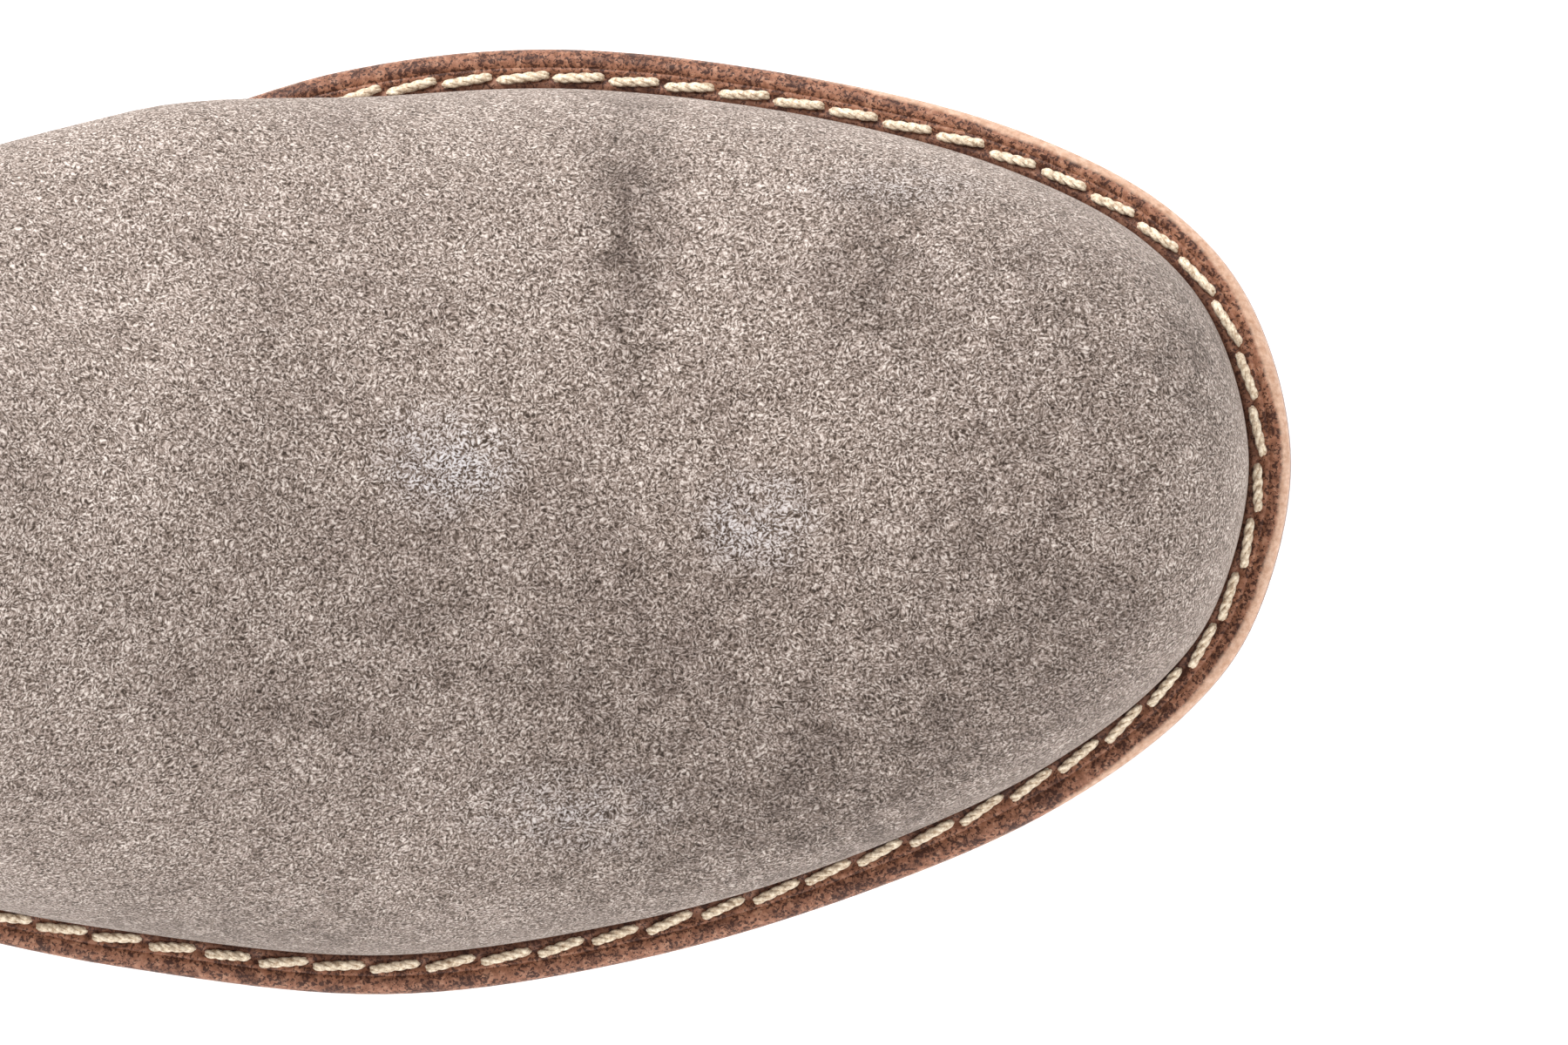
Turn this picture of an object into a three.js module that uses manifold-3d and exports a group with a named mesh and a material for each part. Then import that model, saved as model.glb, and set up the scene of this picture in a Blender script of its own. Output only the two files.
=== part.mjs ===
// A right-foot slip-on moccasin shoe with a plain toe, a stitched leather welt and a low stacked heel.
// Millimetres. +X points to the toe, +Y to the inner side of the foot, +Z up. The shoe stands on z = 0.
//
// The upper is built on a last. Each layer of the upper (suede, stiffeners, lining) is the space between
// two copies of the last's surface, moved inwards along its normals, and is then cut into its pattern pieces.
// The sole's layers are slabs that all follow the same bent profile, a glue line apart.
import * as THREE from "three";
import { mergeVertices } from "three/addons/utils/BufferGeometryUtils.js";
import Module from "manifold-3d";

// ---- driving dimensions ------------------------------------------------------------------------
const LENGTH = 298; // welt, heel to toe
const BALL_WIDTH = 107; // welt, at the ball of the foot
const TOE_SPRING = 12; // the sole's rise at the toe tip
const TREAD_FROM = 0.62; // the sole lies flat on the ground between these shares of its length
const TREAD_TO = 0.7;
const HEEL_SEAT = 80; // length of the level stretch over the heel block
const HEEL_BREAST = 76; // length of the heel block
const BREAST_HOLLOW = 4; // how far the block's front edge curves back

const GLUE = 0.3; // glue line between two pieces
const SEAM = 0.4; // gap between two pattern pieces that meet edge to edge

const OUTSOLE = 4;
const MIDSOLE = 3.2;
const WELT = 2.8;
const WELT_WIDTH = 16; // from the outer edge to the edge under the insole
const SOLE_EDGE_SET = 0.8; // the rubber outsole stands back from the midsole's edge
const TOP_PIECE = 6; // rubber heel top piece
const LIFT = 5.4; // one leather heel lift
const CORK_GAP = 0.3;
const INSOLE = 2.5;
const FOOTBED = 4;
const SOCK = 1.2;
const BED_SLACK = 1; // insole, footbed and sock each stand this much further back from the lining
const SHANK = { length: 105, width: 12, thick: 1.2, from: 72 };
const NAIL = { radius: 1.1, length: 13, clearance: 0.3, recess: 0.25, sides: 8 };

const WELT_SHOW = 4.6; // the welt's edge to the foot of the upper
const SUEDE = 1.6;
const STIFFENER = 1.2; // toe puff, counter, interlining and collar foam
const LINING = 1;
const BINDING = 0.9;
const BINDING_DEPTH = 5;
const TOPLINE_CLEARANCE = 1.3; // stiffener layer below the lining's and the suede's top edge
const BACKSTAY = { thick: 1.2, width: 24, foot: 2 }; // its foot clears the thread on the welt

const STITCH_INSET = 3; // the welt's edge to the thread's middle
const THREAD_RADIUS = 0.55;

const PUFF_LENGTH = 46; // toe puff, back from the toe
const COUNTER_REACH = { inner: 98, outer: 82 }; // heel counter, forwards from the heel
const COUNTER_HEIGHT = 40;

// ---- mesh fineness -----------------------------------------------------------------------------
const MIDDLE_STATIONS = 16; // cross sections between the toe's and the heel's
const END_STATIONS = 6; // closer and closer cross sections round each end
const END_REACH = 0.14; // share of the length that each end takes
const ROWS = 8; // from the welt up to the ridge, on each side
const EDGE_SAMPLES = 720;
const SEAM_STEPS = 12;
const THREAD_SIDES = 6;

// ---- outline, profile and last -------------------------------------------------------------------
// Points on the welt's edge from the toe round the inner side to the heel and back along the outer side:
// share of LENGTH from the heel, and share of BALL_WIDTH, + to the inner side.
const OUTLINE = [
  [1, 0.023],
  [0.985, 0.19],
  [0.955, 0.289],
  [0.9, 0.371],
  [0.82, 0.431],
  [0.72, 0.4645],
  [0.64, 0.443],
  [0.55, 0.368],
  [0.44, 0.312],
  [0.3, 0.308],
  [0.17, 0.318],
  [0.085, 0.29],
  [0.022, 0.178],
  [0, -0.014],
  [0.022, -0.206],
  [0.085, -0.32],
  [0.17, -0.354],
  [0.3, -0.38],
  [0.44, -0.435],
  [0.55, -0.503],
  [0.655, -0.5355],
  [0.75, -0.5],
  [0.84, -0.426],
  [0.91, -0.341],
  [0.96, -0.241],
  [0.985, -0.15],
];
// The ridge of the last: share of LENGTH from the heel, and height above the foot of the upper.
const RIDGE = [
  [0, 82],
  [0.2, 86],
  [0.36, 87],
  [0.44, 82],
  [0.5, 73],
  [0.58, 60],
  [0.66, 48.5],
  [0.74, 39.5],
  [0.82, 34.5],
  [0.89, 32.5],
];
const TOE_REACH = 30; // the ridge ends this far behind the toe tip
const HEEL_REACH = 32; // and this far before the heel
const RIDGE_TO_INNER = 0.54; // share of the width, from the outer side, at which the ridge runs

// Lines in the side view: share of LENGTH from the heel, and height above the ground.
// The mouth's edge, from the heel to above the instep.
const TOPLINE = [
  [-0.035, 92],
  [0.04, 89],
  [0.14, 80],
  [0.255, 74.5],
  [0.355, 77],
  [0.423, 83.5],
  [0.466, 92],
  [0.497, 103],
  [0.514, 118],
];
// The seam between vamp and quarter, from the elastic gore down to the welt.
const SIDE_SEAM = [
  [0.428, 57],
  [0.405, 45],
  [0.37, 32],
  [0.33, 20],
  [0.31, 4],
];
// The front and back edges of an elastic gore, low end first, reaching past the topline.
const GORE_FRONT = [
  [0.438, 56],
  [0.476, 112],
];
const GORE_BACK = [
  [0.418, 56],
  [0.376, 112],
];

const wasm = await Module();
wasm.setup();
const { Manifold, Mesh } = wasm;

// ---- solids --------------------------------------------------------------------------------------
function solidOf(geometry) {
  const bare = geometry.index ? geometry.toNonIndexed() : geometry.clone();
  bare.deleteAttribute("normal");
  bare.deleteAttribute("uv");
  const merged = mergeVertices(bare, 1e-4);
  const index = merged.index.array;
  const triVerts = [];
  for (let i = 0; i < index.length; i += 3) {
    const [a, b, c] = [index[i], index[i + 1], index[i + 2]];
    if (a !== b && b !== c && a !== c) triVerts.push(a, b, c);
  }
  return new Manifold(
    new Mesh({
      numProp: 3,
      vertProperties: merged.attributes.position.array,
      triVerts: new Uint32Array(triVerts),
    }),
  );
}

function geometryOf(solid) {
  const mesh = solid.getMesh();
  const geometry = new THREE.BufferGeometry();
  geometry.setAttribute("position", new THREE.BufferAttribute(mesh.vertProperties, 3));
  geometry.setIndex(new THREE.BufferAttribute(mesh.triVerts, 1));
  geometry.computeVertexNormals();
  return geometry;
}

// A closed skin over sections that all have as many points. The first and last sections have no area,
// or are the same section.
function loft(sections) {
  const size = sections[0].length;
  const points = [];
  for (let k = 0; k + 1 < sections.length; k++) {
    for (let i = 0; i < size; i++) {
      const next = (i + 1) % size;
      const [a, b] = [sections[k][i], sections[k + 1][i]];
      const [c, d] = [sections[k + 1][next], sections[k][next]];
      points.push(a, b, c, a, c, d);
    }
  }
  return solidOf(new THREE.BufferGeometry().setFromPoints(points));
}

// A cutter: an outline in the side view, running right across the shoe.
function sideCutter(outline, from = -LENGTH, to = LENGTH) {
  const shape = new THREE.Shape(outline.map(([x, z]) => new THREE.Vector2(x, z)));
  const geometry = new THREE.ExtrudeGeometry(shape, { depth: to - from, bevelEnabled: false });
  geometry.rotateX(Math.PI / 2); // the shape's y becomes z, and its depth runs to -y
  geometry.translate(0, to, 0);
  return solidOf(geometry);
}

function box(x0, x1, y0, y1, z0, z1) {
  const geometry = new THREE.BoxGeometry(x1 - x0, y1 - y0, z1 - z0);
  geometry.translate((x0 + x1) / 2, (y0 + y1) / 2, (z0 + z1) / 2);
  return solidOf(geometry);
}

// ---- the sole's profile and outline --------------------------------------------------------------
const smooth = (t) => {
  const s = Math.min(1, Math.max(0, t));
  return s * s * (3 - 2 * s);
};
const HEEL_HEIGHT = TOP_PIECE + 2 * LIFT + 3 * GLUE;

// Height of the outsole's underside.
function sole(x) {
  const treadBack = TREAD_FROM * LENGTH;
  const treadFront = TREAD_TO * LENGTH;
  if (x < treadBack) return HEEL_HEIGHT * smooth((treadBack - x) / (treadBack - HEEL_SEAT));
  const forward = Math.max(0, (x - treadFront) / (LENGTH - treadFront));
  return TOE_SPRING * forward ** 1.8;
}
const OUTSOLE_TOP = OUTSOLE;
const MIDSOLE_FOOT = OUTSOLE_TOP + GLUE;
const WELT_FOOT = MIDSOLE_FOOT + MIDSOLE + GLUE;
const WELT_TOP = WELT_FOOT + WELT;
const FEATHER = WELT_TOP + GLUE; // foot of the upper, above the sole's underside
const INSOLE_FOOT = FEATHER + SUEDE + GLUE + LINING + GLUE;
const FOOTBED_FOOT = INSOLE_FOOT + INSOLE + GLUE;
const SOCK_FOOT = FOOTBED_FOOT + FOOTBED + GLUE;
const above = (height) => (x) => sole(x) + height;
const feather = above(FEATHER);

const outline = new THREE.CatmullRomCurve3(
  OUTLINE.map(([x, y]) => new THREE.Vector3(x * LENGTH, y * BALL_WIDTH, 0)),
  true,
);

// The welt's edge moved inwards: its toe and heel points, and its y at any x on either side.
function edge(inset) {
  const points = [];
  for (let i = 0; i < EDGE_SAMPLES; i++) {
    const at = outline.getPoint(i / EDGE_SAMPLES);
    const along = outline.getTangent(i / EDGE_SAMPLES);
    points.push(new THREE.Vector2(at.x - along.y * inset, at.y + along.x * inset));
  }
  const furthest = (sign) =>
    points.reduce((best, p, i) => (sign * p.x > sign * points[best].x ? i : best), 0);
  const toe = furthest(1);
  const heel = furthest(-1);
  const run = (from, to) => {
    const found = [];
    for (let i = from; i !== to; i = (i + 1) % EDGE_SAMPLES) found.push(points[i]);
    return [...found, points[to]];
  };
  const sides = { inner: run(toe, heel), outer: run(heel, toe).reverse() };
  const yAt = (x, side) => {
    const list = sides[side];
    const i = Math.max(1, list.findIndex((p) => p.x <= x));
    const [a, b] = [list[i - 1], list[i]];
    const share = a.x === b.x ? 0 : (a.x - x) / (a.x - b.x);
    return a.y + (b.y - a.y) * Math.min(1, Math.max(0, share));
  };
  return { toe: points[toe], heel: points[heel], yAt };
}

// Cross sections of a rim from its toe to its heel: x, and y on either side. All rims share the middle
// sections, so that layers which lie on each other bend at the same places.
function stations(rim) {
  const front = LENGTH * (1 - END_REACH);
  const back = LENGTH * END_REACH;
  const ending = (tip, start) =>
    Array.from({ length: END_STATIONS - 1 }, (_, i) => {
      const share = (i + 1) / END_STATIONS;
      return tip + (start - tip) * share ** 1.8;
    });
  const middle = Array.from({ length: MIDDLE_STATIONS + 1 }, (_, i) => {
    return front + ((back - front) * i) / MIDDLE_STATIONS;
  });
  const xs = [...ending(rim.toe.x, front), ...middle, ...ending(rim.heel.x, back).reverse()];
  return [
    { x: rim.toe.x, inner: rim.toe.y, outer: rim.toe.y },
    ...xs.map((x) => ({ x, inner: rim.yAt(x, "inner"), outer: rim.yAt(x, "outer") })),
    { x: rim.heel.x, inner: rim.heel.y, outer: rim.heel.y },
  ];
}

function slab(inset, bottom, top) {
  const at = (x, y, z) => new THREE.Vector3(x, y, z);
  return loft(
    stations(edge(inset)).map(({ x, inner, outer }) => [
      at(x, outer, bottom(x)),
      at(x, inner, bottom(x)),
      at(x, inner, top(x)),
      at(x, outer, top(x)),
    ]),
  );
}

// ---- the last --------------------------------------------------------------------------------------
const ridgeCurve = new THREE.SplineCurve(
  RIDGE.map(([x, z]) => new THREE.Vector2(x * LENGTH, z)),
);
function ridgeHeight(x) {
  let [low, high] = [0, 1];
  for (let i = 0; i < 30; i++) {
    const middle = (low + high) / 2;
    if (ridgeCurve.getPoint(middle).x < x) low = middle;
    else high = middle;
  }
  return ridgeCurve.getPoint(low).y;
}

// How far the ridge point of a section lies from its foot, along the shoe.
function ridgeX(x) {
  const toeShare = Math.max(0, (x - 0.7 * LENGTH) / (0.3 * LENGTH));
  const heelShare = Math.max(0, (0.25 * LENGTH - x) / (0.25 * LENGTH));
  return x - TOE_REACH * toeShare ** 1.5 + HEEL_REACH * heelShare ** 1.5;
}

// How far the wall swells past the foot of the upper: most at the waist, where it hangs over the
// inner side of the welt, and under the toes.
const bump = (x, at, width) => Math.exp(-(((x / LENGTH - at) / width) ** 2));
const WAIST = 0.565; // share of LENGTH
const SWELL = {
  inner: (x) => 0.5 + 8.9 * bump(x, WAIST, x < WAIST * LENGTH ? 0.16 : 0.075) + bump(x, 0.81, 0.06),
  outer: (x) => 0.4 + 1.8 * bump(x, 0.8, 0.075) + 2 * bump(x, 0.35, 0.2),
};
const SWELL_TOP = 0.62; // share of the way up at which the swell has died out
// The section is a superellipse: 2 is an ellipse, more is squarer.
const squareness = (x) => 2.15 + 0.35 * smooth((x / LENGTH - 0.75) / 0.2);

// Half a section, from the foot of the upper to the ridge.
function halfSection({ x, y, side, ridge }) {
  const lean = new THREE.Vector2(x - ridge.x, y - ridge.y).normalize();
  const power = 2 / squareness(x);
  return Array.from({ length: ROWS + 1 }, (_, j) => {
    const t = j / ROWS;
    const turn = (t * Math.PI) / 2;
    const out = Math.cos(turn) ** power;
    const up = Math.sin(turn) ** power;
    const swell = t < SWELL_TOP ? SWELL[side](x) * Math.sin((Math.PI * t) / SWELL_TOP) ** 1.3 : 0;
    const px = j === ROWS ? ridge.x : ridge.x + (x - ridge.x) * out + lean.x * swell;
    const py = j === ROWS ? ridge.y : ridge.y + (y - ridge.y) * out + lean.y * swell;
    return new THREE.Vector3(px, py, feather(px) + ridge.height * up);
  });
}

const foot = edge(WELT_SHOW);
const lastSections = stations(foot).map(({ x, inner, outer }) => {
  const rx = ridgeX(x);
  const middle = outer + (inner - outer) * RIDGE_TO_INNER;
  const ridge = { x: rx, y: middle, height: ridgeHeight(rx) };
  const innerHalf = halfSection({ x, y: inner, side: "inner", ridge });
  const outerHalf = halfSection({ x, y: outer, side: "outer", ridge });
  return [...innerHalf, ...outerHalf.reverse().slice(1)];
});
// The toe and heel sections are folded flat, so both their halves are the same points.
for (const folded of [lastSections[0], lastSections[lastSections.length - 1]]) {
  for (let j = 0; j < ROWS; j++) folded[2 * ROWS - j].copy(folded[j]);
}

// The last's surface normals, averaged over the faces that meet at each point.
const lastNormals = (() => {
  const keyOf = (p) => [p.x, p.y, p.z].map((v) => v.toFixed(4)).join();
  const sums = new Map();
  const add = (a, b, c) => {
    const face = new THREE.Vector3().crossVectors(b.clone().sub(a), c.clone().sub(a));
    for (const p of [a, b, c]) {
      const key = keyOf(p);
      if (!sums.has(key)) sums.set(key, new THREE.Vector3());
      sums.get(key).add(face);
    }
  };
  for (let k = 0; k + 1 < lastSections.length; k++) {
    for (let j = 0; j < 2 * ROWS; j++) {
      const [a, b] = [lastSections[k][j], lastSections[k + 1][j]];
      const [c, d] = [lastSections[k + 1][j + 1], lastSections[k][j + 1]];
      add(a, b, c);
      add(a, c, d);
    }
  }
  return lastSections.map((s) => s.map((p) => sums.get(keyOf(p)).clone().normalize()));
})();

// The last's solid with its surface moved outwards, and its base raised above the feather line.
// A skirt carries the wall straight down below that base.
function last(outwards, lift, skirt = 0) {
  return loft(
    lastSections.map((section, k) => {
      const moved = section.map((p, j) => {
        const n = lastNormals[k][j].clone();
        const low = j === 0 || j === 2 * ROWS;
        if (low) n.setZ(0).normalize();
        const at = p.clone().addScaledVector(n, outwards);
        if (low) at.z = feather(at.x) + lift;
        return at;
      });
      if (!skirt) return moved;
      const hem = [moved[0], moved[2 * ROWS]].map((p) => p.clone().setZ(p.z - skirt));
      return [hem[0], ...moved, hem[1]];
    }),
  );
}

// ---- side-view regions -------------------------------------------------------------------------------
const SKY = 300;
const sideLine = (line) => line.map(([x, z]) => new THREE.Vector2(x * LENGTH, z));
const toplineCurve = new THREE.SplineCurve(sideLine(TOPLINE));
const toplinePoints = Array.from({ length: 2 * SEAM_STEPS + 1 }, (_, i) => {
  const t = i / (2 * SEAM_STEPS);
  const along = toplineCurve.getTangent(t);
  return { at: toplineCurve.getPoint(t), up: new THREE.Vector2(-along.y, along.x) };
});
// Everything above the topline moved up by so much.
function aboveTopline(raise) {
  const line = toplinePoints.map(({ at, up }) => [at.x + up.x * raise, at.y + up.y * raise]);
  const [first, final] = [line[0], line[line.length - 1]];
  return sideCutter([
    [-LENGTH, first[1]],
    ...line,
    [final[0], SKY],
    [-LENGTH, SKY],
  ]);
}
const seamCurve = new THREE.SplineCurve(sideLine(SIDE_SEAM));
const seamPoints = seamCurve.getPoints(SEAM_STEPS).map(({ x, y }) => [x, y]);
// The shoe ahead of the side seam, above which the line leans on up through the gore.
function aheadOfSeam(forwards) {
  const line = seamPoints.map(([x, z]) => [x + forwards, z]);
  const top = [line[0][0], SKY];
  const foot = [line[line.length - 1][0], -LENGTH];
  return sideCutter([top, ...line, foot, [2 * LENGTH, -LENGTH], [2 * LENGTH, SKY]]);
}
function goreRegion(grow) {
  const [backLow, backHigh] = sideLine(GORE_BACK);
  const [frontLow, frontHigh] = sideLine(GORE_FRONT);
  return sideCutter([
    [backLow.x - grow, backLow.y - grow],
    [frontLow.x + grow, frontLow.y - grow],
    [frontHigh.x + grow, frontHigh.y],
    [backHigh.x - grow, backHigh.y],
  ]);
}
const innerSide = (from) => box(-LENGTH, 2 * LENGTH, from, LENGTH, -LENGTH, SKY);
const outerSide = (to) => box(-LENGTH, 2 * LENGTH, -LENGTH, to, -LENGTH, SKY);

// ---- the sole -----------------------------------------------------------------------------------------
const parts = new Map();
const weltHole = slab(WELT_WIDTH, above(WELT_FOOT - 1), above(WELT_TOP + 1));
parts.set("welt", slab(0, above(WELT_FOOT), above(WELT_TOP)).subtract(weltHole));
parts.set("midsole", slab(0, above(MIDSOLE_FOOT), above(MIDSOLE_FOOT + MIDSOLE)));
parts.set("outsole", slab(SOLE_EDGE_SET, above(0), above(OUTSOLE_TOP)));

const BREAST_STEPS = 6;
// The heel block's plan: behind a front edge that curves back towards the middle.
function heelRegion() {
  const wide = BALL_WIDTH / 2;
  const front = Array.from({ length: 2 * BREAST_STEPS + 1 }, (_, i) => {
    const y = wide * (i / BREAST_STEPS - 1);
    return new THREE.Vector2(HEEL_BREAST - BREAST_HOLLOW * (1 - (y / wide) ** 2), y);
  });
  const shape = new THREE.Shape([
    new THREE.Vector2(-LENGTH, -wide),
    ...front,
    new THREE.Vector2(-LENGTH, wide),
  ]);
  return solidOf(new THREE.ExtrudeGeometry(shape, { depth: SKY, bevelEnabled: false }));
}
const level = (z) => () => z;
const nailCentres = [
  [14, edge(0).heel.y],
  [30, edge(0).heel.y + 22],
  [30, edge(0).heel.y - 22],
  [56, edge(0).heel.y + 20],
  [56, edge(0).heel.y - 20],
];
function nailAt([x, y], radius, from, to) {
  const geometry = new THREE.CylinderGeometry(radius, radius, to - from, NAIL.sides);
  geometry.rotateX(Math.PI / 2);
  geometry.translate(x, y, (from + to) / 2);
  return solidOf(geometry);
}
const NAIL_TOP = NAIL.recess + NAIL.length;
const nailHoles = nailCentres
  .map((at) => nailAt(at, NAIL.radius + NAIL.clearance, -1, NAIL_TOP + GLUE))
  .reduce((all, hole) => all.add(hole));
const heelBlock = (from, to) =>
  slab(SOLE_EDGE_SET, level(from), level(to)).intersect(heelRegion()).subtract(nailHoles);
parts.set("heel_top_piece", heelBlock(0, TOP_PIECE));
parts.set("heel_lift_lower", heelBlock(TOP_PIECE + GLUE, TOP_PIECE + GLUE + LIFT));
parts.set("heel_lift_upper", heelBlock(TOP_PIECE + LIFT + 2 * GLUE, TOP_PIECE + 2 * LIFT + 2 * GLUE));
nailCentres.forEach((at, i) => {
  parts.set(`heel_nail_${i + 1}`, nailAt(at, NAIL.radius, NAIL.recess, NAIL_TOP));
});

// ---- between sole and foot ------------------------------------------------------------------------------
const corkTop = above(INSOLE_FOOT - GLUE);
const shankTop = above(INSOLE_FOOT - 2 * GLUE);
const shankFoot = above(INSOLE_FOOT - 2 * GLUE - SHANK.thick);
// A strip along the shoe's middle, between two heights.
function strip(from, to, width, bottom, top) {
  const steps = 10;
  const corners = Array.from({ length: steps + 1 }, (_, i) => from + ((to - from) * i) / steps);
  const up = [...corners].reverse().map((x) => [x, top(x)]);
  const middle = (foot.heel.y + foot.toe.y) / 2 - BALL_WIDTH * 0.03;
  return sideCutter([...corners.map((x) => [x, bottom(x)]), ...up], middle - width / 2, middle + width / 2);
}
const shankEnd = SHANK.from + SHANK.length;
const pocketWidth = SHANK.width + 2 * CORK_GAP;
const pocketFoot = above(INSOLE_FOOT - 2 * GLUE - SHANK.thick - CORK_GAP);
const pocket = strip(SHANK.from - CORK_GAP, shankEnd + CORK_GAP, pocketWidth, pocketFoot, above(INSOLE_FOOT + 1));
parts.set("shank", strip(SHANK.from, shankEnd, SHANK.width, shankFoot, shankTop));
parts.set("cork_filler", slab(WELT_WIDTH + CORK_GAP, above(WELT_FOOT), corkTop).subtract(pocket));

const LINED = SUEDE + GLUE + STIFFENER + GLUE; // suede face to lining
const INSIDE = WELT_SHOW + LINED + LINING; // welt's edge to the inside of the lining
parts.set("insole_board", slab(INSIDE + BED_SLACK, above(INSOLE_FOOT), above(INSOLE_FOOT + INSOLE)));
parts.set("footbed", slab(INSIDE + 2 * BED_SLACK, above(FOOTBED_FOOT), above(FOOTBED_FOOT + FOOTBED)));
parts.set("sock_liner", slab(INSIDE + 3 * BED_SLACK, above(SOCK_FOOT), above(SOCK_FOOT + SOCK)));

// ---- the upper ----------------------------------------------------------------------------------------------
const flangeHole = slab(WELT_WIDTH, above(FEATHER - 5), above(FEATHER + 15));
const mouth = aboveTopline(0);
const suede = last(0, 0).subtract(last(-SUEDE, SUEDE)).subtract(flangeHole).subtract(mouth);
const gores = goreRegion(0);
const goreGap = goreRegion(SEAM);
const quarters = suede.subtract(aheadOfSeam(-SEAM / 2)).subtract(goreGap);
const heelMiddle = foot.heel.y;
parts.set("vamp", suede.intersect(aheadOfSeam(SEAM / 2)).subtract(goreGap));
parts.set("inner_quarter", quarters.intersect(innerSide(heelMiddle + SEAM / 2)));
parts.set("outer_quarter", quarters.intersect(outerSide(heelMiddle - SEAM / 2)));
parts.set("inner_gore", suede.intersect(gores).intersect(innerSide(0)));
parts.set("outer_gore", suede.intersect(gores).intersect(outerSide(0)));

const backstayRegion = box(
  -LENGTH,
  HEEL_REACH,
  heelMiddle - BACKSTAY.width / 2,
  heelMiddle + BACKSTAY.width / 2,
  -LENGTH,
  SKY,
);
const SKIRT = 12;
const backstayShell = last(GLUE + BACKSTAY.thick, BACKSTAY.foot).subtract(last(GLUE, 0, SKIRT));
const belowBinding = aboveTopline(-BINDING_DEPTH - GLUE);
parts.set("backstay", backstayShell.intersect(backstayRegion).subtract(belowBinding));

// Toe puff, interlining, heel counter and collar foam share the layer between suede and lining.
const stiffenerFace = SUEDE + GLUE;
const stiffener = last(-stiffenerFace, stiffenerFace)
  .subtract(last(-stiffenerFace - STIFFENER, stiffenerFace, SKIRT))
  .subtract(aboveTopline(-TOPLINE_CLEARANCE));
const puffBack = LENGTH - PUFF_LENGTH;
const puffRegion = (gap) => box(puffBack - gap, 2 * LENGTH, -LENGTH, LENGTH, -LENGTH, SKY);
const counterTop = feather(0) + COUNTER_HEIGHT;
const counterRegion = (gap) =>
  box(-LENGTH, COUNTER_REACH.inner + gap, heelMiddle, LENGTH, -LENGTH, counterTop + gap).add(
    box(-LENGTH, COUNTER_REACH.outer + gap, -LENGTH, heelMiddle, -LENGTH, counterTop + gap),
  );
parts.set("toe_puff", stiffener.intersect(puffRegion(0)));
parts.set("heel_counter", stiffener.intersect(counterRegion(0)));
const between = stiffener.subtract(puffRegion(SEAM)).subtract(counterRegion(SEAM));
parts.set("interlining", between.intersect(aheadOfSeam(SEAM / 2)));
parts.set("collar_foam", between.subtract(aheadOfSeam(-SEAM / 2)));

const lining = last(-LINED, stiffenerFace)
  .subtract(last(-LINED - LINING, stiffenerFace + LINING))
  .subtract(flangeHole)
  .subtract(mouth);
parts.set("vamp_lining", lining.intersect(aheadOfSeam(SEAM / 2)));
parts.set("quarter_lining", lining.subtract(aheadOfSeam(-SEAM / 2)));

// The binding is a folded strip over the edges of suede, foam and lining, all round the mouth.
const edgeStack = last(GLUE, 0)
  .subtract(last(-LINED - LINING - GLUE, 0))
  .subtract(aboveTopline(GLUE));
const bindingBand = last(GLUE + BINDING, 0)
  .subtract(last(-LINED - LINING - GLUE - BINDING, 0))
  .subtract(aboveTopline(GLUE + BINDING))
  .intersect(aboveTopline(-BINDING_DEPTH));
parts.set("topline_binding", bindingBand.subtract(edgeStack));

// ---- the welt's thread -----------------------------------------------------------------------------------------
function weltThread() {
  const height = WELT_TOP + GLUE + THREAD_RADIUS;
  const ring = stations(edge(STITCH_INSET));
  const inner = ring.map(({ x, inner: y }) => new THREE.Vector3(x, y, sole(x) + height));
  const outer = ring.map(({ x, outer: y }) => new THREE.Vector3(x, y, sole(x) + height));
  const path = [...inner, ...outer.slice(1, -1).reverse()];
  const up = new THREE.Vector3(0, 0, 1);
  const rings = path.map((at, k) => {
    const along = path[(k + 1) % path.length].clone().sub(path.at(k - 1)).normalize();
    const across = new THREE.Vector3().crossVectors(up, along).normalize();
    const rise = new THREE.Vector3().crossVectors(along, across);
    return Array.from({ length: THREAD_SIDES }, (_, i) => {
      const turn = (-2 * Math.PI * i) / THREAD_SIDES;
      return at
        .clone()
        .addScaledVector(across, THREAD_RADIUS * Math.cos(turn))
        .addScaledVector(rise, THREAD_RADIUS * Math.sin(turn));
    });
  });
  return loft([...rings, rings[0]]);
}
parts.set("welt_stitching", weltThread());

// ---- materials and the group ---------------------------------------------------------------------------------------
const material = (color, roughness, metalness = 0) =>
  new THREE.MeshStandardMaterial({ color, roughness, metalness });
const suedeTaupe = material(0xa89a92, 0.95);
const weltLeather = material(0x85604c, 0.6);
const tanLeather = material(0xc09a78, 0.6);
const rubber = material(0x4a3a30, 0.8);
const liningLeather = material(0xc9b08f, 0.7);
const board = material(0xb59a74, 0.9);
const thread = material(0xe0cfa6, 0.7);
const LOOKS = {
  welt: weltLeather,
  midsole: tanLeather,
  outsole: rubber,
  heel_top_piece: rubber,
  heel_lift_lower: tanLeather,
  heel_lift_upper: tanLeather,
  shank: material(0x9a9da1, 0.35, 1),
  cork_filler: material(0xa9794d, 0.9),
  insole_board: board,
  footbed: material(0x3f3b39, 0.9),
  sock_liner: liningLeather,
  toe_puff: board,
  heel_counter: board,
  interlining: material(0xe8e2d6, 0.95),
  collar_foam: material(0xd9d3c4, 0.95),
  vamp_lining: liningLeather,
  quarter_lining: liningLeather,
  inner_gore: material(0x6a5f58, 0.9),
  outer_gore: material(0x6a5f58, 0.9),
  topline_binding: weltLeather,
  backstay: suedeTaupe,
  welt_stitching: thread,
};
const brass = material(0xb08d4a, 0.3, 1);
const lookOf = (name) => LOOKS[name] ?? (name.startsWith("heel_nail") ? brass : suedeTaupe);

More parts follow.
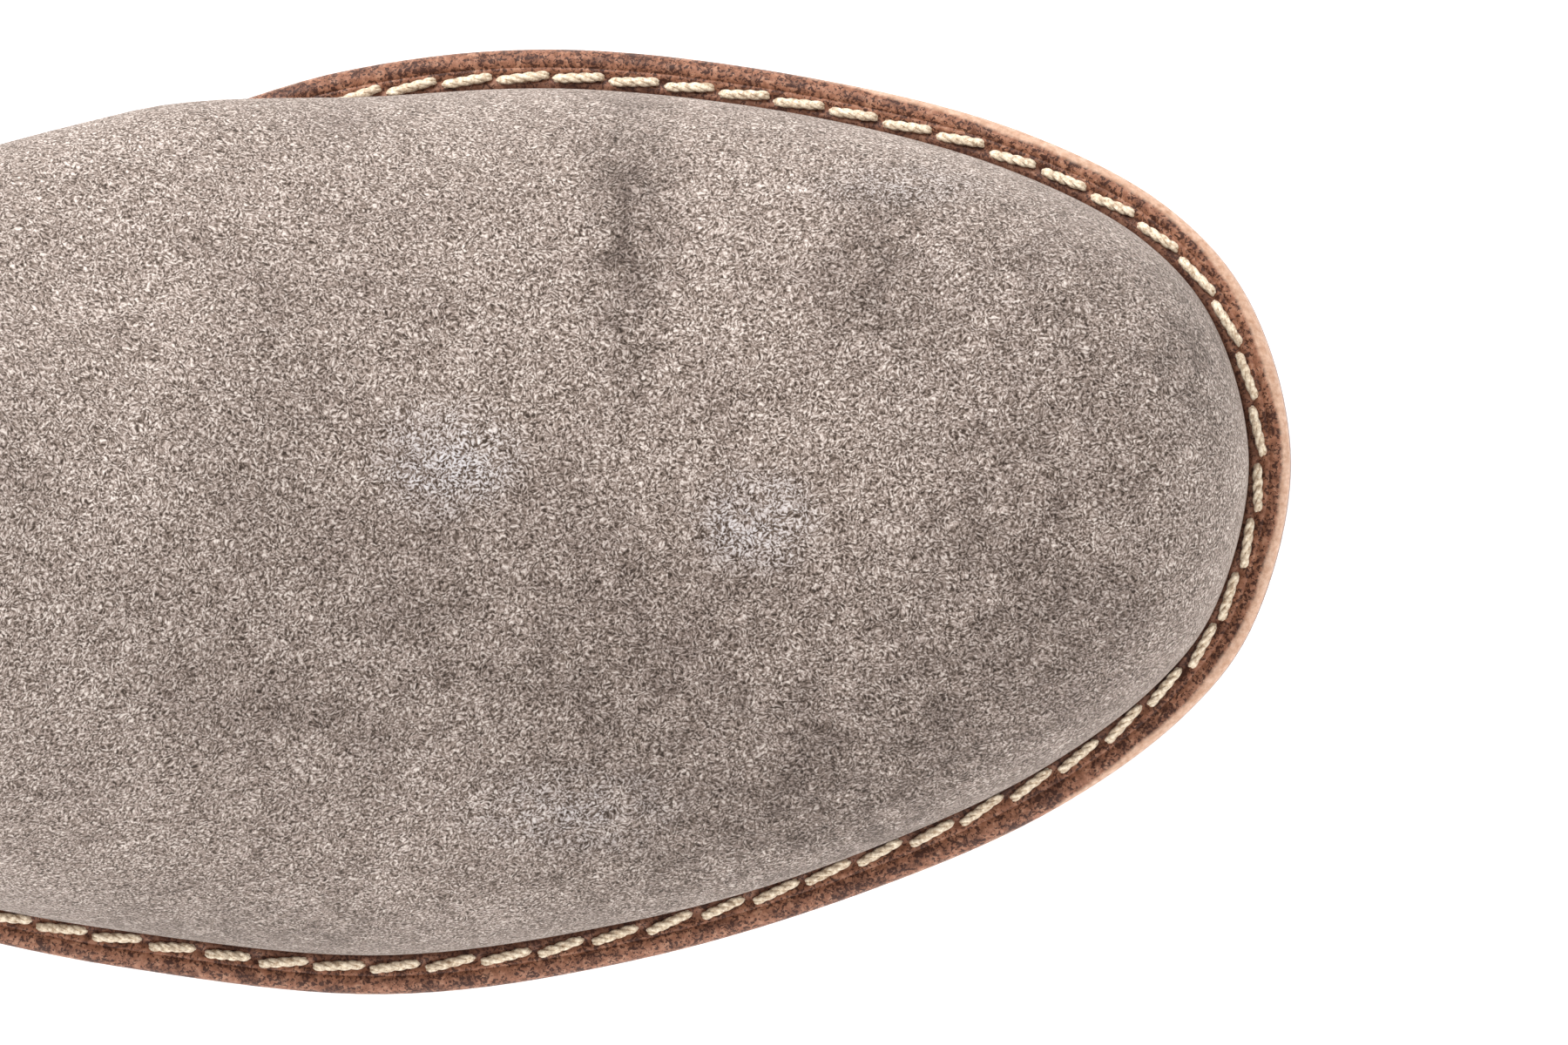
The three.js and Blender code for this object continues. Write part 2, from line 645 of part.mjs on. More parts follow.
const shoe = new THREE.Group();
for (const [name, solid] of parts) {
  const mesh = new THREE.Mesh(geometryOf(solid), lookOf(name));
  mesh.name = name;
  shoe.add(mesh);
}
// The origin is the middle of the shoe's box, on the ground.
const extent = new THREE.Box3().setFromObject(shoe);
const middle = extent.getCenter(new THREE.Vector3());
shoe.position.set(-middle.x, -middle.y, -extent.min.z);

const part = new THREE.Group();
part.add(shoe);
export default part;
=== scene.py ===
# %% [markdown]
# # A suede slip-on shoe on a stitched leather welt
#
# The fixed frame is a right shoe with every layer as a plain solid. This lesson gives its pieces their real
# shape and finish: napped suede, a speckled leather welt, heavy twisted thread, a stacked leather heel.
# A shoe is built round a last, a block in the shape of the foot. The lesson works the same way: it makes the
# last's surface once, and every piece of the upper is a layer of it.

# %% Load the frame
import math

import bpy
import numpy as np
from mathutils import Matrix, Vector
from mathutils.bvhtree import BVHTree


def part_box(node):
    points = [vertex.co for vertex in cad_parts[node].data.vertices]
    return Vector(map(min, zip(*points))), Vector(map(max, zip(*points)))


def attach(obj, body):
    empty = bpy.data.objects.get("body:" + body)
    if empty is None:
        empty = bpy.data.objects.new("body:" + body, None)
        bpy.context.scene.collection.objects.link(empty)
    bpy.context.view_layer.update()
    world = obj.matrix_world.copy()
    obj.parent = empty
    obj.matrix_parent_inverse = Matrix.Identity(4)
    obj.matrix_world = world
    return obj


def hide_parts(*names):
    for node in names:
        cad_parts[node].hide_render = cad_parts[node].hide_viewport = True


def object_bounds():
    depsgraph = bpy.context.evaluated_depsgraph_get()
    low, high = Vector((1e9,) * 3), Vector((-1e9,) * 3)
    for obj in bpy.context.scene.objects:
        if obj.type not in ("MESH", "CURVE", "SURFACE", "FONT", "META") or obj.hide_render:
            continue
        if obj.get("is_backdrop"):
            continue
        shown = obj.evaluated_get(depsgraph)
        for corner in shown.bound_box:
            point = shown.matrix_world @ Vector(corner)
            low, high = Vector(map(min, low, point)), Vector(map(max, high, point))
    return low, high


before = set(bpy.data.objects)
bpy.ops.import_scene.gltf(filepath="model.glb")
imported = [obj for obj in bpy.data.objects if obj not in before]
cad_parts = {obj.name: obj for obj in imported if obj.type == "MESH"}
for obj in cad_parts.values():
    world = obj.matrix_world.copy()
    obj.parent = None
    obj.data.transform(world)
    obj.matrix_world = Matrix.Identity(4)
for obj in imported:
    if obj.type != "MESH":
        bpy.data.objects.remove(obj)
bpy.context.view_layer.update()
MM = 0.001

# %% [markdown]
# ## The shoe's outline
#
# All layers of the sole share one outline. A pattern maker draws it round the last with a few chosen points and
# a flexible ruler. Here the points are shares of length and width, so the outline fits the frame's own size, and
# a smooth closed line runs through them. Lengths are in millimetres from the heel, and each mesh is moved into
# the frame's place when it is made.

# %% The outline, from the toe round the inner side to the heel and back
OUTLINE = np.array(
    [
        (1, 0.023), (0.985, 0.19), (0.955, 0.289), (0.9, 0.371), (0.82, 0.431), (0.72, 0.4645),
        (0.64, 0.443), (0.55, 0.368), (0.44, 0.312), (0.3, 0.308), (0.17, 0.318), (0.085, 0.29),
        (0.022, 0.178), (0, -0.014), (0.022, -0.206), (0.085, -0.32), (0.17, -0.354), (0.3, -0.38),
        (0.44, -0.435), (0.55, -0.503), (0.655, -0.5355), (0.75, -0.5), (0.84, -0.426), (0.91, -0.341),
        (0.96, -0.241), (0.985, -0.15),
    ]
)  # fmt: skip
sole_low, sole_high = (np.array(c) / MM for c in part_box("midsole"))
LENGTH = sole_high[0] - sole_low[0]
WIDTH = sole_high[1] - sole_low[1]


def closed_spline(points, steps):
    """A smooth closed line through the points, with so many steps between each two."""
    p0, p1, p2, p3 = (np.roll(points, s, axis=0) for s in (1, 0, -1, -2))
    gaps = [np.sqrt(np.linalg.norm(b - a, axis=1))[:, None] for a, b in ((p0, p1), (p1, p2), (p2, p3))]
    d0, d1, d2 = gaps
    leave = ((p1 - p0) / d0 - (p2 - p0) / (d0 + d1) + (p2 - p1) / d1) * d1
    arrive = ((p2 - p1) / d1 - (p3 - p1) / (d1 + d2) + (p3 - p2) / d2) * d1
    s = np.linspace(0, 1, steps, endpoint=False)[:, None, None]
    square = 3 * (p2 - p1) - 2 * leave - arrive
    cube = 2 * (p1 - p2) + leave + arrive
    line = p1 + leave * s + square * s**2 + cube * s**3
    return line.transpose(1, 0, 2).reshape(-1, 2)


EDGE = closed_spline(OUTLINE * (LENGTH, WIDTH), 200)
edge_run = np.roll(EDGE, -1, axis=0) - np.roll(EDGE, 1, axis=0)
edge_run /= np.linalg.norm(edge_run, axis=1)[:, None]
INWARD = np.column_stack([-edge_run[:, 1], edge_run[:, 0]])
HOME = np.array([sole_low[0], sole_high[1] - EDGE[:, 1].max(), 0])  # from heel-based lengths to the frame
print(f"welt {LENGTH:.1f} x {WIDTH:.1f} mm")

# %% [markdown]
# ## Rings round the shoe
#
# Every layer is a stack of rings at some inset from the outline. If all rings have the same number of points,
# lying at matching places along the shoe, then any two rings can be joined by plain quads. The points crowd
# towards toe and heel, where the outline turns fastest.

# %% A ring at any inset
STATIONS = 150  # steps from toe to heel on each side
RING = 2 * STATIONS


def rim(inset):
    """The outline moved inwards: RING points from the toe round the inner side."""
    line = EDGE + INWARD * np.reshape(inset, (-1, 1))
    line = np.roll(line, -line[:, 0].argmax(), axis=0)
    heel = line[:, 0].argmin()
    inner, outer = line[: heel + 1][::-1], np.vstack([line[heel:], line[:1]])
    share = (1 - np.cos(np.pi * np.arange(STATIONS + 1) / STATIONS)) / 2
    x = line[0, 0] + (line[heel, 0] - line[0, 0]) * share
    there = np.column_stack([x, np.interp(x, inner[:, 0], inner[:, 1])])
    back = np.column_stack([x, np.interp(x, outer[:, 0], outer[:, 1])])
    return np.vstack([there, back[1:-1][::-1]])


print(f"one ring has {RING} points, {np.ptp(rim(0)[:, 0]):.1f} mm long")

# %% [markdown]
# ## The bend of the sole
#
# The sole isn't flat. It lies on the ground at the ball, rises over the arch to the heel seat, and springs up
# at the toe so that the shoe rolls in a step. One rule gives its height along the shoe, and all layers follow it.

# %% Thicknesses and the sole's height
OUTSOLE, MIDSOLE, WELT, GLUE = 4.0, 3.2, 2.8, 0.3
TREAD_BACK, TREAD_FRONT, HEEL_SEAT, TOE_SPRING = 0.62 * LENGTH, 0.7 * LENGTH, 80, 12
HEEL_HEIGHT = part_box("heel_lift_upper")[1].z / MM + GLUE
BASE = OUTSOLE + MIDSOLE + 2 * GLUE  # the welt's underside
FEATHER = BASE + WELT + GLUE  # where the upper meets the welt


def ease(t):
    s = np.clip(t, 0, 1)
    return s * s * (3 - 2 * s)


def sole(x):
    """Height of the outsole's underside, mm."""
    heel = HEEL_HEIGHT * ease((TREAD_BACK - x) / (TREAD_BACK - HEEL_SEAT))
    toe = TOE_SPRING * (np.maximum(0, x - TREAD_FRONT) / (LENGTH - TREAD_FRONT)) ** 1.8
    return heel + toe


def ring(inset, height):
    """A ring that follows the sole's bend at a height above its underside."""
    xy = rim(inset)
    return np.column_stack([xy, sole(xy[:, 0]) + height])


print(f"heel {HEEL_HEIGHT:.1f} mm, feather line {FEATHER:.1f} mm above the outsole's underside")

# %% [markdown]
# ## The last
#
# Half a cross section of the last runs from the foot of the upper to the ridge. It is a superellipse, which
# is an ellipse with a squarer shoulder, and the wall swells past its foot at the arch and beside the toes.
# Box modelling could give such a shape with many hand-placed loops. A rule for the section is used instead,
# because each layer of suede, felt and lining must follow the same surface at an exact distance.

# %% The last's surface
WELT_SHOW = 4.6  # the welt's width in front of the upper
RIDGE = np.array(
    [(0, 82), (0.2, 86), (0.36, 87), (0.44, 82), (0.5, 73), (0.58, 60), (0.66, 48.5), (0.74, 39.5),
     (0.82, 34.5), (0.89, 32.5)]
)  # fmt: skip
TOE_REACH, HEEL_REACH, RIDGE_TO_INNER = 30, 32, 0.54
WAIST = 0.565  # here the inner wall hangs furthest over the welt
ROWS = 44


def open_spline(points, steps):
    """A smooth open line through the points."""
    p = np.vstack([points[:1], points, points[-1:]])
    s = np.linspace(0, 1, steps, endpoint=False)[:, None, None]
    p0, p1, p2, p3 = p[:-3], p[1:-2], p[2:-1], p[3:]
    v0, v1 = (p2 - p0) / 2, (p3 - p1) / 2
    line = p1 + v0 * s + (3 * (p2 - p1) - 2 * v0 - v1) * s**2 + (2 * (p1 - p2) + v0 + v1) * s**3
    return np.vstack([line.transpose(1, 0, 2).reshape(-1, p.shape[1]), points[-1:]])


def bump(x, at, width):
    """A smooth swelling of height 1, at a share of the length."""
    return np.exp(-(((x / LENGTH - at) / width) ** 2))


def make_last():
    """Rows of rings from the foot of the upper to the ridge."""
    foot = rim(WELT_SHOW)
    i = np.arange(RING)
    k = np.minimum(i, RING - i)
    inner_y, outer_y, x = foot[k, 1], foot[(RING - k) % RING, 1], foot[:, 0]
    toe_share = np.maximum(0, (x - 0.7 * LENGTH) / (0.3 * LENGTH))
    heel_share = np.maximum(0, (0.25 * LENGTH - x) / (0.25 * LENGTH))
    ridge_x = x - TOE_REACH * toe_share**1.5 + HEEL_REACH * heel_share**1.5
    ridge = np.column_stack([ridge_x, outer_y + (inner_y - outer_y) * RIDGE_TO_INNER])
    line = open_spline(RIDGE * (LENGTH, 1), 40)
    height = np.interp(ridge_x, line[:, 0], line[:, 1])
    waist_width = np.where(x < WAIST * LENGTH, 0.16, 0.075)
    inner_swell = 0.5 + 8.9 * bump(x, WAIST, waist_width) + bump(x, 0.81, 0.06)
    outer_swell = 0.4 + 1.8 * bump(x, 0.8, 0.075) + 2 * bump(x, 0.35, 0.2)
    swell = np.where(i <= STATIONS, inner_swell, outer_swell)
    squareness = 2.15 + 0.35 * ease((x / LENGTH - 0.75) / 0.2)
    lean = foot - ridge
    lean /= np.linalg.norm(lean, axis=1)[:, None]
    t = (np.arange(ROWS + 1) / ROWS)[:, None]
    out = np.cos(t * np.pi / 2).clip(0) ** (2 / squareness)
    up = np.sin(t * np.pi / 2) ** (2 / squareness)
    push = swell * np.sin(np.pi * np.minimum(t / 0.62, 1)).clip(0) ** 1.3
    xy = ridge + (foot - ridge) * out[..., None] + lean * push[..., None]
    z = sole(xy[..., 0]) + FEATHER + height * up
    return np.dstack([xy, z])


LAST = make_last()
print("the last is", [round(v, 1) for v in np.ptp(LAST.reshape(-1, 3), axis=0)], "mm")

# %% [markdown]
# ## The last's normals
#
# A layer of leather has an even thickness, so its other face is the last's surface moved along its normals.
# They come from the neighbouring points. Where the two sides meet at the ridge they must agree, and at the foot
# they stay level, so that a thicker layer doesn't sink into the welt.

# %% Normals
def normals_of(grid):
    """Outward normals. The two halves of the top row are the same ridge, so they share theirs."""
    along = np.roll(grid, -1, axis=1) - np.roll(grid, 1, axis=1)
    upward = np.gradient(grid, axis=0)
    n = np.cross(along, upward)
    pair = (RING - np.arange(RING)) % RING
    n[-1] = n[-1] + n[-1, pair]
    n[-1, 0], n[-1, STATIONS] = n[-1, 2], n[-1, STATIONS - 2]
    n[0, :, 2] = 0
    upper = n[ROWS * 3 // 4 :]
    upper[upper[..., 2] < 0] *= -1  # at the ridge's ends the rows meet and may cross
    return n / np.maximum(np.linalg.norm(n, axis=2), 1e-9)[..., None]


LAST_NORMALS = normals_of(LAST)
print("normals point up at the ridge:", round(float(LAST_NORMALS[-1, :, 2].mean()), 2))

# %% [markdown]
# ## From rows of points to a mesh
#
# A sweep along the welt or a layer of the last is a grid of points: rows of rings. One helper joins them by
# faces, and another makes the object, with a UV map in millimetres so that ribs and rims lie at their real
# distances. A last step merges doubled points and turns the faces outwards, as one does by hand in edit mode.

# %% Mesh helpers
def clear_selection():
    for o in bpy.context.selected_objects:
        o.select_set(False)


def choose(piece):
    clear_selection()
    piece.select_set(True)
    bpy.context.view_layer.objects.active = piece


def mesh_piece(name, points, faces, uv=None):
    """A mesh object at the origin. The points are heel-based millimetres."""
    mesh = bpy.data.meshes.new(name)
    mesh.from_pydata(((np.asarray(points) + HOME) * MM).tolist(), [], faces)
    if uv is not None:
        layer = mesh.uv_layers.new(name="mm")
        corner = np.empty(len(mesh.loops), np.int64)
        mesh.loops.foreach_get("vertex_index", corner)
        layer.data.foreach_set("uv", np.asarray(uv, np.float32)[corner].ravel())
    piece = bpy.data.objects.new(name, mesh)
    bpy.context.scene.collection.objects.link(piece)
    return piece


def ring_faces(rows, columns, closed_rows=False):
    """Quads between rings; closed_rows also joins the last row to the first."""
    count = rows if closed_rows else rows - 1
    j, i = np.meshgrid(np.arange(count), np.arange(columns), indexing="ij")
    a, b = j * columns + i, j * columns + (i + 1) % columns
    c, d = ((j + 1) % rows) * columns + (i + 1) % columns, ((j + 1) % rows) * columns + i
    return np.stack([a, b, c, d], axis=-1).reshape(-1, 4).tolist()


def tidy(piece, angle=40):
    """Merges doubled points, points the faces outwards and shades the piece smooth."""
    choose(piece)
    bpy.ops.object.mode_set(mode="EDIT")
    bpy.ops.mesh.select_all(action="SELECT")
    bpy.ops.mesh.remove_doubles(threshold=2e-6)
    bpy.ops.mesh.normals_make_consistent(inside=False)
    bpy.ops.object.mode_set(mode="OBJECT")
    bpy.ops.object.shade_smooth_by_angle(angle=math.radians(angle))
    return piece


print(len(ring_faces(2, RING)), "quads between two rings")

# %% [markdown]
# ## Materials
#
# Each material starts from what the real one is. Colours are written as sRGB hex values and turned to linear
# by one function, because the shader works with linear light. One function adds a node with its settings and
# links, so that a material reads as a list of what feeds what. Patterns read Object coordinates in millimetres,
# or the piece's own UV map where they follow a strip.

# %% Colour and node helpers
A, B, MIXED = 6, 7, 2  # the colour inputs and the colour output of a Mix node


def linear(code):
    """An sRGB hex colour, or a grey from 0 to 1, as linear RGBA."""
    if not isinstance(code, str):
        return (code, code, code, 1)
    parts = [int(code[i : i + 2], 16) / 255 for i in (1, 3, 5)]
    return (*(c / 12.92 if c <= 0.04045 else ((c + 0.055) / 1.055) ** 2.4 for c in parts), 1)


def feed(tree, node, inputs):
    """Links a node's inputs to other nodes' outputs, or gives them a number or a hex colour."""
    for key, value in inputs.items():
        if isinstance(value, bpy.types.NodeSocket):
            tree.links.new(value, node.inputs[key])
        else:
            node.inputs[key].default_value = linear(value) if isinstance(value, str) else value


def add(tree, kind, inputs, output=0, stops=(), **settings):
    """Adds a node with its inputs and settings, and gives back one of its outputs."""
    node = tree.nodes.new("ShaderNode" + kind)
    for key, value in settings.items():
        setattr(node, key, value)
    for n, (position, colour) in enumerate(stops):  # the stops of a colour ramp
        elements = node.color_ramp.elements
        element = elements[n] if n < len(elements) else elements.new(position)
        element.position, element.color = position, linear(colour)
    feed(tree, node, inputs)
    return node.outputs[output]


def new_material(name):
    """A material, its node tree, and the place on the piece in millimetres."""
    made = bpy.data.materials.new(name)
    made.use_nodes = True
    place = add(made.node_tree, "TexCoord", {}, "Object")
    return made, made.node_tree, add(made.node_tree, "VectorMath", {0: place, "Scale": 1000.0}, operation="SCALE")


def surface(made, inputs):
    """Feeds the material's surface shader."""
    feed(made.node_tree, made.node_tree.nodes["Principled BSDF"], inputs)
    print("material:", made.name)
    return made


print("mid grey is", round(linear("#808080")[0], 3), "in linear light")

# %% [markdown]
# ### The nap of suede
#
# Suede is split leather whose flesh side is sanded to a nap. Its fibres lie in short tufts that turn this way
# and that, so the eye sees pale and dark flecks. A hair system could show each fibre, but at this size only the
# tufts are seen, so a fine noise is used, bent by a coarser one as a brush bends the nap. There are 3.3 tufts
# to the millimetre, in loose clumps about 2 mm wide.

# %% Tufts and clumps
NAP_COLOURS = [(0.33, "#3d322b"), (0.43, "#72645b"), (0.5, "#95867d"), (0.57, "#b7a8a0"), (0.68, "#eadfd7")]


def nap_tone(tree, mm):
    """How pale the nap is, and the clumps it lies in."""
    drift = add(tree, "TexNoise", {"Vector": mm, "Scale": 0.5}, "Color")
    drift = add(tree, "VectorMath", {0: drift, "Scale": 1.6}, operation="SCALE")
    brushed = add(tree, "VectorMath", {0: mm, 1: drift}, operation="ADD")
    tuft = {"Vector": brushed, "Scale": 3.3, "Detail": 1.3, "Roughness": 0.6, "Distortion": 0.35}
    tufts = add(tree, "TexNoise", tuft)
    clumps = add(tree, "TexNoise", {"Vector": mm, "Scale": 0.45, "Roughness": 0.6})
    tenth = add(tree, "Math", {0: clumps, 1: 0.1}, operation="MULTIPLY")
    return add(tree, "Math", {0: tufts, 1: 0.9, 2: tenth}, operation="MULTIPLY_ADD"), clumps


print("the nap goes through", len(NAP_COLOURS), "colours")

# %% [markdown]
# ### Painted shade and scuffed places
#
# The nap is darkened in soft patches of painted shade, where less light falls across the upper, and it has
# scuffs, where the tips of the nap are rubbed pale. A painted mask could place them, but this shoe uses no image.
# Each is a soft ball with a centre and half-sizes in millimetres, made ragged by a noise.

# %% Painted shade and scuffed spots
# Patches of painted shade, then scuffs. Centre and half-sizes in mm, and how strong
PAINTED_SHADE_PATCHES = [
    ((76.5, 33, 40), (6.5, 24, 60), 0.4),
    ((104, 27, 40), (8, 17, 60), 0.22),
    ((139, 19, 40), (9, 17, 60), 0.3),
    ((122, -2, 40), (24, 34, 60), 0.3),
    ((66, -15, 40), (72, 26, 60), 0.24),
    ((38, 14, 40), (12, 22, 60), 0.2),
    ((100, -36, 40), (46, 20, 60), 0.34),
    ((34, -50, 40), (70, 14, 60), 0.3),
    ((121, 29, 40), (27, 21, 60), 0.2),
]
SCUFFED = [
    ((57, 7, 40), (10, 8, 60), 0.42),
    ((91, 0, 40), (8, 7, 60), 0.34),
    ((69, -32, 40), (14, 6, 60), 0.17),
    ((106, 37, 40), (12, 3, 60), 0.16),
]


def spot(tree, mm, centre, size, ragged, amount):
    """A soft patch: it fades from its middle to its edge."""
    placed = add(tree, "Mapping", {"Vector": mm, "Location": centre, "Scale": size}, vector_type="TEXTURE")
    ball = add(tree, "TexGradient", {"Vector": placed}, "Fac", gradient_type="SPHERICAL")
    torn = add(tree, "Math", {0: ball, 1: ragged}, operation="MULTIPLY")
    return add(tree, "Math", {0: torn, 1: amount * 2}, operation="MULTIPLY", use_clamp=True)


def painted_shade_and_scuffs(tree, mm, colour, tone):
    """The nap's colour, darkened by painted shade in patches, and its scuffed places."""
    fringe = add(tree, "TexNoise", {"Vector": mm, "Scale": 0.3, "Detail": 3.0, "Roughness": 0.65})
    ragged = add(tree, "ValToRGB", {"Fac": fringe}, stops=[(0.36, 0.35), (0.64, 1.4)])
    for centre, size, amount in PAINTED_SHADE_PATCHES:
        # painted shade: in each patch the nap is darkened towards a grey brown
        shade_share = spot(tree, mm, centre, size, ragged, amount)
        painted_shade = {"Factor": shade_share, A: colour, B: "#8f8784"}
        colour = add(tree, "Mix", painted_shade, MIXED, data_type="RGBA", blend_type="MULTIPLY")
    tips = add(tree, "ValToRGB", {"Fac": tone}, stops=[(0.46, 0.0), (0.58, 1.0)])
    for centre, size, amount in SCUFFED:
        rub = spot(tree, mm, centre, size, ragged, amount)
        rub = add(tree, "Math", {0: rub, 1: tips}, operation="MULTIPLY")
        colour = add(tree, "Mix", {"Factor": rub, A: colour, B: "#d2cfd2"}, MIXED, data_type="RGBA")
    return colour


print(len(PAINTED_SHADE_PATCHES), "soiled and", len(SCUFFED), "scuffed places")

# %% [markdown]
# ### Taupe napped suede
#
# The nap is combined with what lies over it: a smoother, evener rim along the foot of the upper, where the last
# has pressed it, painted lighter as well to stand in for the sheen of the nap seen edge-on there, and a slow
# change of shade from the hide. The surface is rough and hardly reflects, and sheen gives it the soft light edge
# of standing fibres.

# %% Suede
def suede():
    made, tree, mm = new_material("taupe_napped_suede")
    tone, clumps = nap_tone(tree, mm)
    colour = add(tree, "ValToRGB", {"Fac": tone}, stops=NAP_COLOURS)
    # the pressed rim, evener and lighter as a painted sheen, fades out between 2.5 and 8 mm up the wall
    up_wall = add(tree, "SeparateXYZ", {"Vector": add(tree, "UVMap", {}, uv_map="mm")}, "Y")
    up_wall = add(tree, "Math", {0: up_wall, 1: 100.0}, operation="MULTIPLY")
    pressed_rim_and_sheen = add(tree, "ValToRGB", {"Fac": up_wall}, stops=[(0.25, 0.7), (0.8, 0.0)])
    # painted sheen: the rim's evener colour is lighter than the nap around it
    smooth = add(tree, "Mix", {"Factor": clumps, A: "#9c8e86", B: "#b8aaa0"}, MIXED, data_type="RGBA")
    colour = add(tree, "Mix", {"Factor": pressed_rim_and_sheen, A: colour, B: smooth}, MIXED, data_type="RGBA")
    # the hide's own shades, in patches of 8 and 30 mm
    mottle = add(tree, "TexNoise", {"Vector": mm, "Scale": 0.12, "Detail": 3.0, "Roughness": 0.6})
    patches = add(tree, "TexNoise", {"Vector": mm, "Scale": 0.03})
    broad = add(tree, "Math", {0: add(tree, "Math", {0: patches, 1: mottle}), 1: 0.5}, operation="MULTIPLY")
    shade = add(tree, "ValToRGB", {"Fac": broad}, stops=[(0.3, "#d8d5d4"), (0.5, "#f0efee"), (0.68, "#ffffff")])
    shaded = {"Factor": 1.0, A: colour, B: shade}
    colour = add(tree, "Mix", shaded, MIXED, data_type="RGBA", blend_type="MULTIPLY")
    relief = add(tree, "Bump", {"Height": tone, "Strength": 0.9, "Distance": 0.4 * MM})
    return surface(made, {
        "Base Color": painted_shade_and_scuffs(tree, mm, colour, tone), "Normal": relief, "Roughness": 0.93,
        "Specular IOR Level": 0.12, "Sheen Weight": 0.25, "Sheen Roughness": 0.5, "Sheen Tint": "#e9ddd3",
    })  # fmt: skip


SUEDE = suede()

# %% [markdown]
# ### Speckled welt leather
#
# The welt is vegetable-tanned leather with an antiqued finish: brown dye sponged on in drops and burnished,
# which leaves many dark specks. Its rounded edge is rubbed back to the pale tan of the leather, most of all at
# the toe. The strip's own UV map tells how far in from the edge a point lies, so the rim, and the painted shade
# and pooled dye in the thread's channel and against the upper, follow the strip round the shoe.

# %% Speckled welt leather
# Where the rim is rubbed most: centre and half-sizes in mm
RUBBED = [((128, 37, 20), (40, 34, 60)), ((149, 6, 20), (30, 26, 60)), ((140, -22, 20), (26, 22, 60))]


def dyed(tree, mm, grain):
    """Brown leather with drops of dye about 2 mm wide and specks of 0.4 mm."""
    specks = {"Vector": mm, "Scale": 2.5, "Roughness": 0.65, "Distortion": 0.5}
    specks = add(tree, "TexNoise", specks)
    drops = add(tree, "TexNoise", {"Vector": mm, "Scale": 0.5, "Detail": 3.0, "Roughness": 0.6})
    colour = add(tree, "ValToRGB", {"Fac": grain}, stops=[(0.3, "#6e4732"), (0.5, "#93634c"), (0.72, "#b78a70")])
    wet = add(tree, "ValToRGB", {"Fac": drops}, stops=[(0.5, 0.0), (0.6, 0.55)])
    colour = add(tree, "Mix", {"Factor": wet, A: colour, B: "#4d2b1e"}, MIXED, data_type="RGBA")
    dark = add(tree, "Math", {0: drops, 1: 0.35, 2: specks}, operation="MULTIPLY_ADD")
    dark = add(tree, "ValToRGB", {"Fac": dark}, stops=[(0.69, 0.0), (0.735, 0.9)])
    return add(tree, "Mix", {"Factor": dark, A: colour, B: "#371a10"}, MIXED, data_type="RGBA")


def rubbed_rim(tree, mm, across):
    """Over a millimetre wide at the toe's inner corner and tip, and a hair's width elsewhere."""
    reach = add(tree, "TexNoise", {"Vector": mm, "Scale": 0.16})
    reach = add(tree, "Math", {0: reach, 1: 0.8}, operation="MULTIPLY")
    for centre, size in RUBBED:
        reach = add(tree, "Math", {0: reach, 1: spot(tree, mm, centre, size, 1.0, 0.8)})
    reach = add(tree, "Math", {0: reach, 1: across}, operation="SUBTRACT")
    inside = {0: reach, 1: 2.5, 2: -0.75}
    inside = add(tree, "Math", inside, operation="MULTIPLY_ADD", use_clamp=True)
    return add(tree, "Math", {0: inside, 1: 0.85}, operation="MULTIPLY")


def speckled_leather():
    made, tree, mm = new_material("speckled_welt_leather")
    across = add(tree, "SeparateXYZ", {"Vector": add(tree, "UVMap", {}, uv_map="mm")}, "Y")
    across = add(tree, "Math", {0: across, 1: 1000.0}, operation="MULTIPLY")
    grain = add(tree, "TexNoise", {"Vector": mm, "Scale": 1.3, "Detail": 4.0, "Roughness": 0.65})
    colour = dyed(tree, mm, grain)
    pale = add(tree, "ValToRGB", {"Fac": grain}, stops=[(0.3, "#b58b6f"), (0.7, "#dab8a1")])
    rim_share = rubbed_rim(tree, mm, across)
    colour = add(tree, "Mix", {"Factor": rim_share, A: colour, B: pale}, MIXED, data_type="RGBA")
    # painted shade with pooled dye: darker in the thread's channel, 3 mm in, and against the upper
    tenth = add(tree, "Math", {0: across, 1: 0.1}, operation="MULTIPLY")
    channel_dye_and_shade = add(tree, "ValToRGB", {"Fac": tenth}, stops=[(0.24, 0.0), (0.3, 0.27), (0.38, 0.21), (0.46, 0.6)])
    colour = add(tree, "Mix", {"Factor": channel_dye_and_shade, A: colour, B: "#4a2a20"}, MIXED, data_type="RGBA")
    return surface(made, {
        "Base Color": colour,
        "Roughness": add(tree, "ValToRGB", {"Fac": grain}, stops=[(0.3, 0.62), (0.7, 0.45)]),
        "Normal": add(tree, "Bump", {"Height": grain, "Strength": 0.5, "Distance": 0.18 * MM}),
        "Specular IOR Level": 0.3,
    })  # fmt: skip


WELT_LEATHER = speckled_leather()

# %% [markdown]
# ### Sole, lining and binding leather
#
# Midsole and heel lifts show the cut edge of sole leather: fine layers of fibre, about half a millimetre apart,
# dyed and waxed to a dull gloss. Lining and binding are thin grain leather, where small pores show instead.

# %% Sole-edge and grain leather
def stacked_leather():
    """Sole leather seen on its edge: the noise is flattened so that it lies in layers."""
    made, tree, mm = new_material("waxed_sole_edge_leather")
    flat = add(tree, "Mapping", {"Vector": mm, "Scale": (0.5, 0.5, 2.2)})
    layers = add(tree, "TexNoise", {"Vector": flat, "Scale": 1.0, "Detail": 3.0, "Roughness": 0.55})
    stain = add(tree, "TexNoise", {"Vector": mm, "Scale": 0.05, "Detail": 3.0})
    stain = add(tree, "ValToRGB", {"Fac": stain}, stops=[(0.3, 0.8), (0.7, 1.1)])
    colour = add(tree, "ValToRGB", {"Fac": layers}, stops=[(0.3, "#5b3726"), (0.5, "#744732"), (0.7, "#8d5c43")])
    stained = {"Factor": 1.0, A: colour, B: stain}
    colour = add(tree, "Mix", stained, MIXED, data_type="RGBA", blend_type="MULTIPLY")
    relief = add(tree, "Bump", {"Height": layers, "Strength": 0.35, "Distance": 0.15 * MM})
    return surface(made, {"Base Color": colour, "Normal": relief, "Roughness": 0.42})


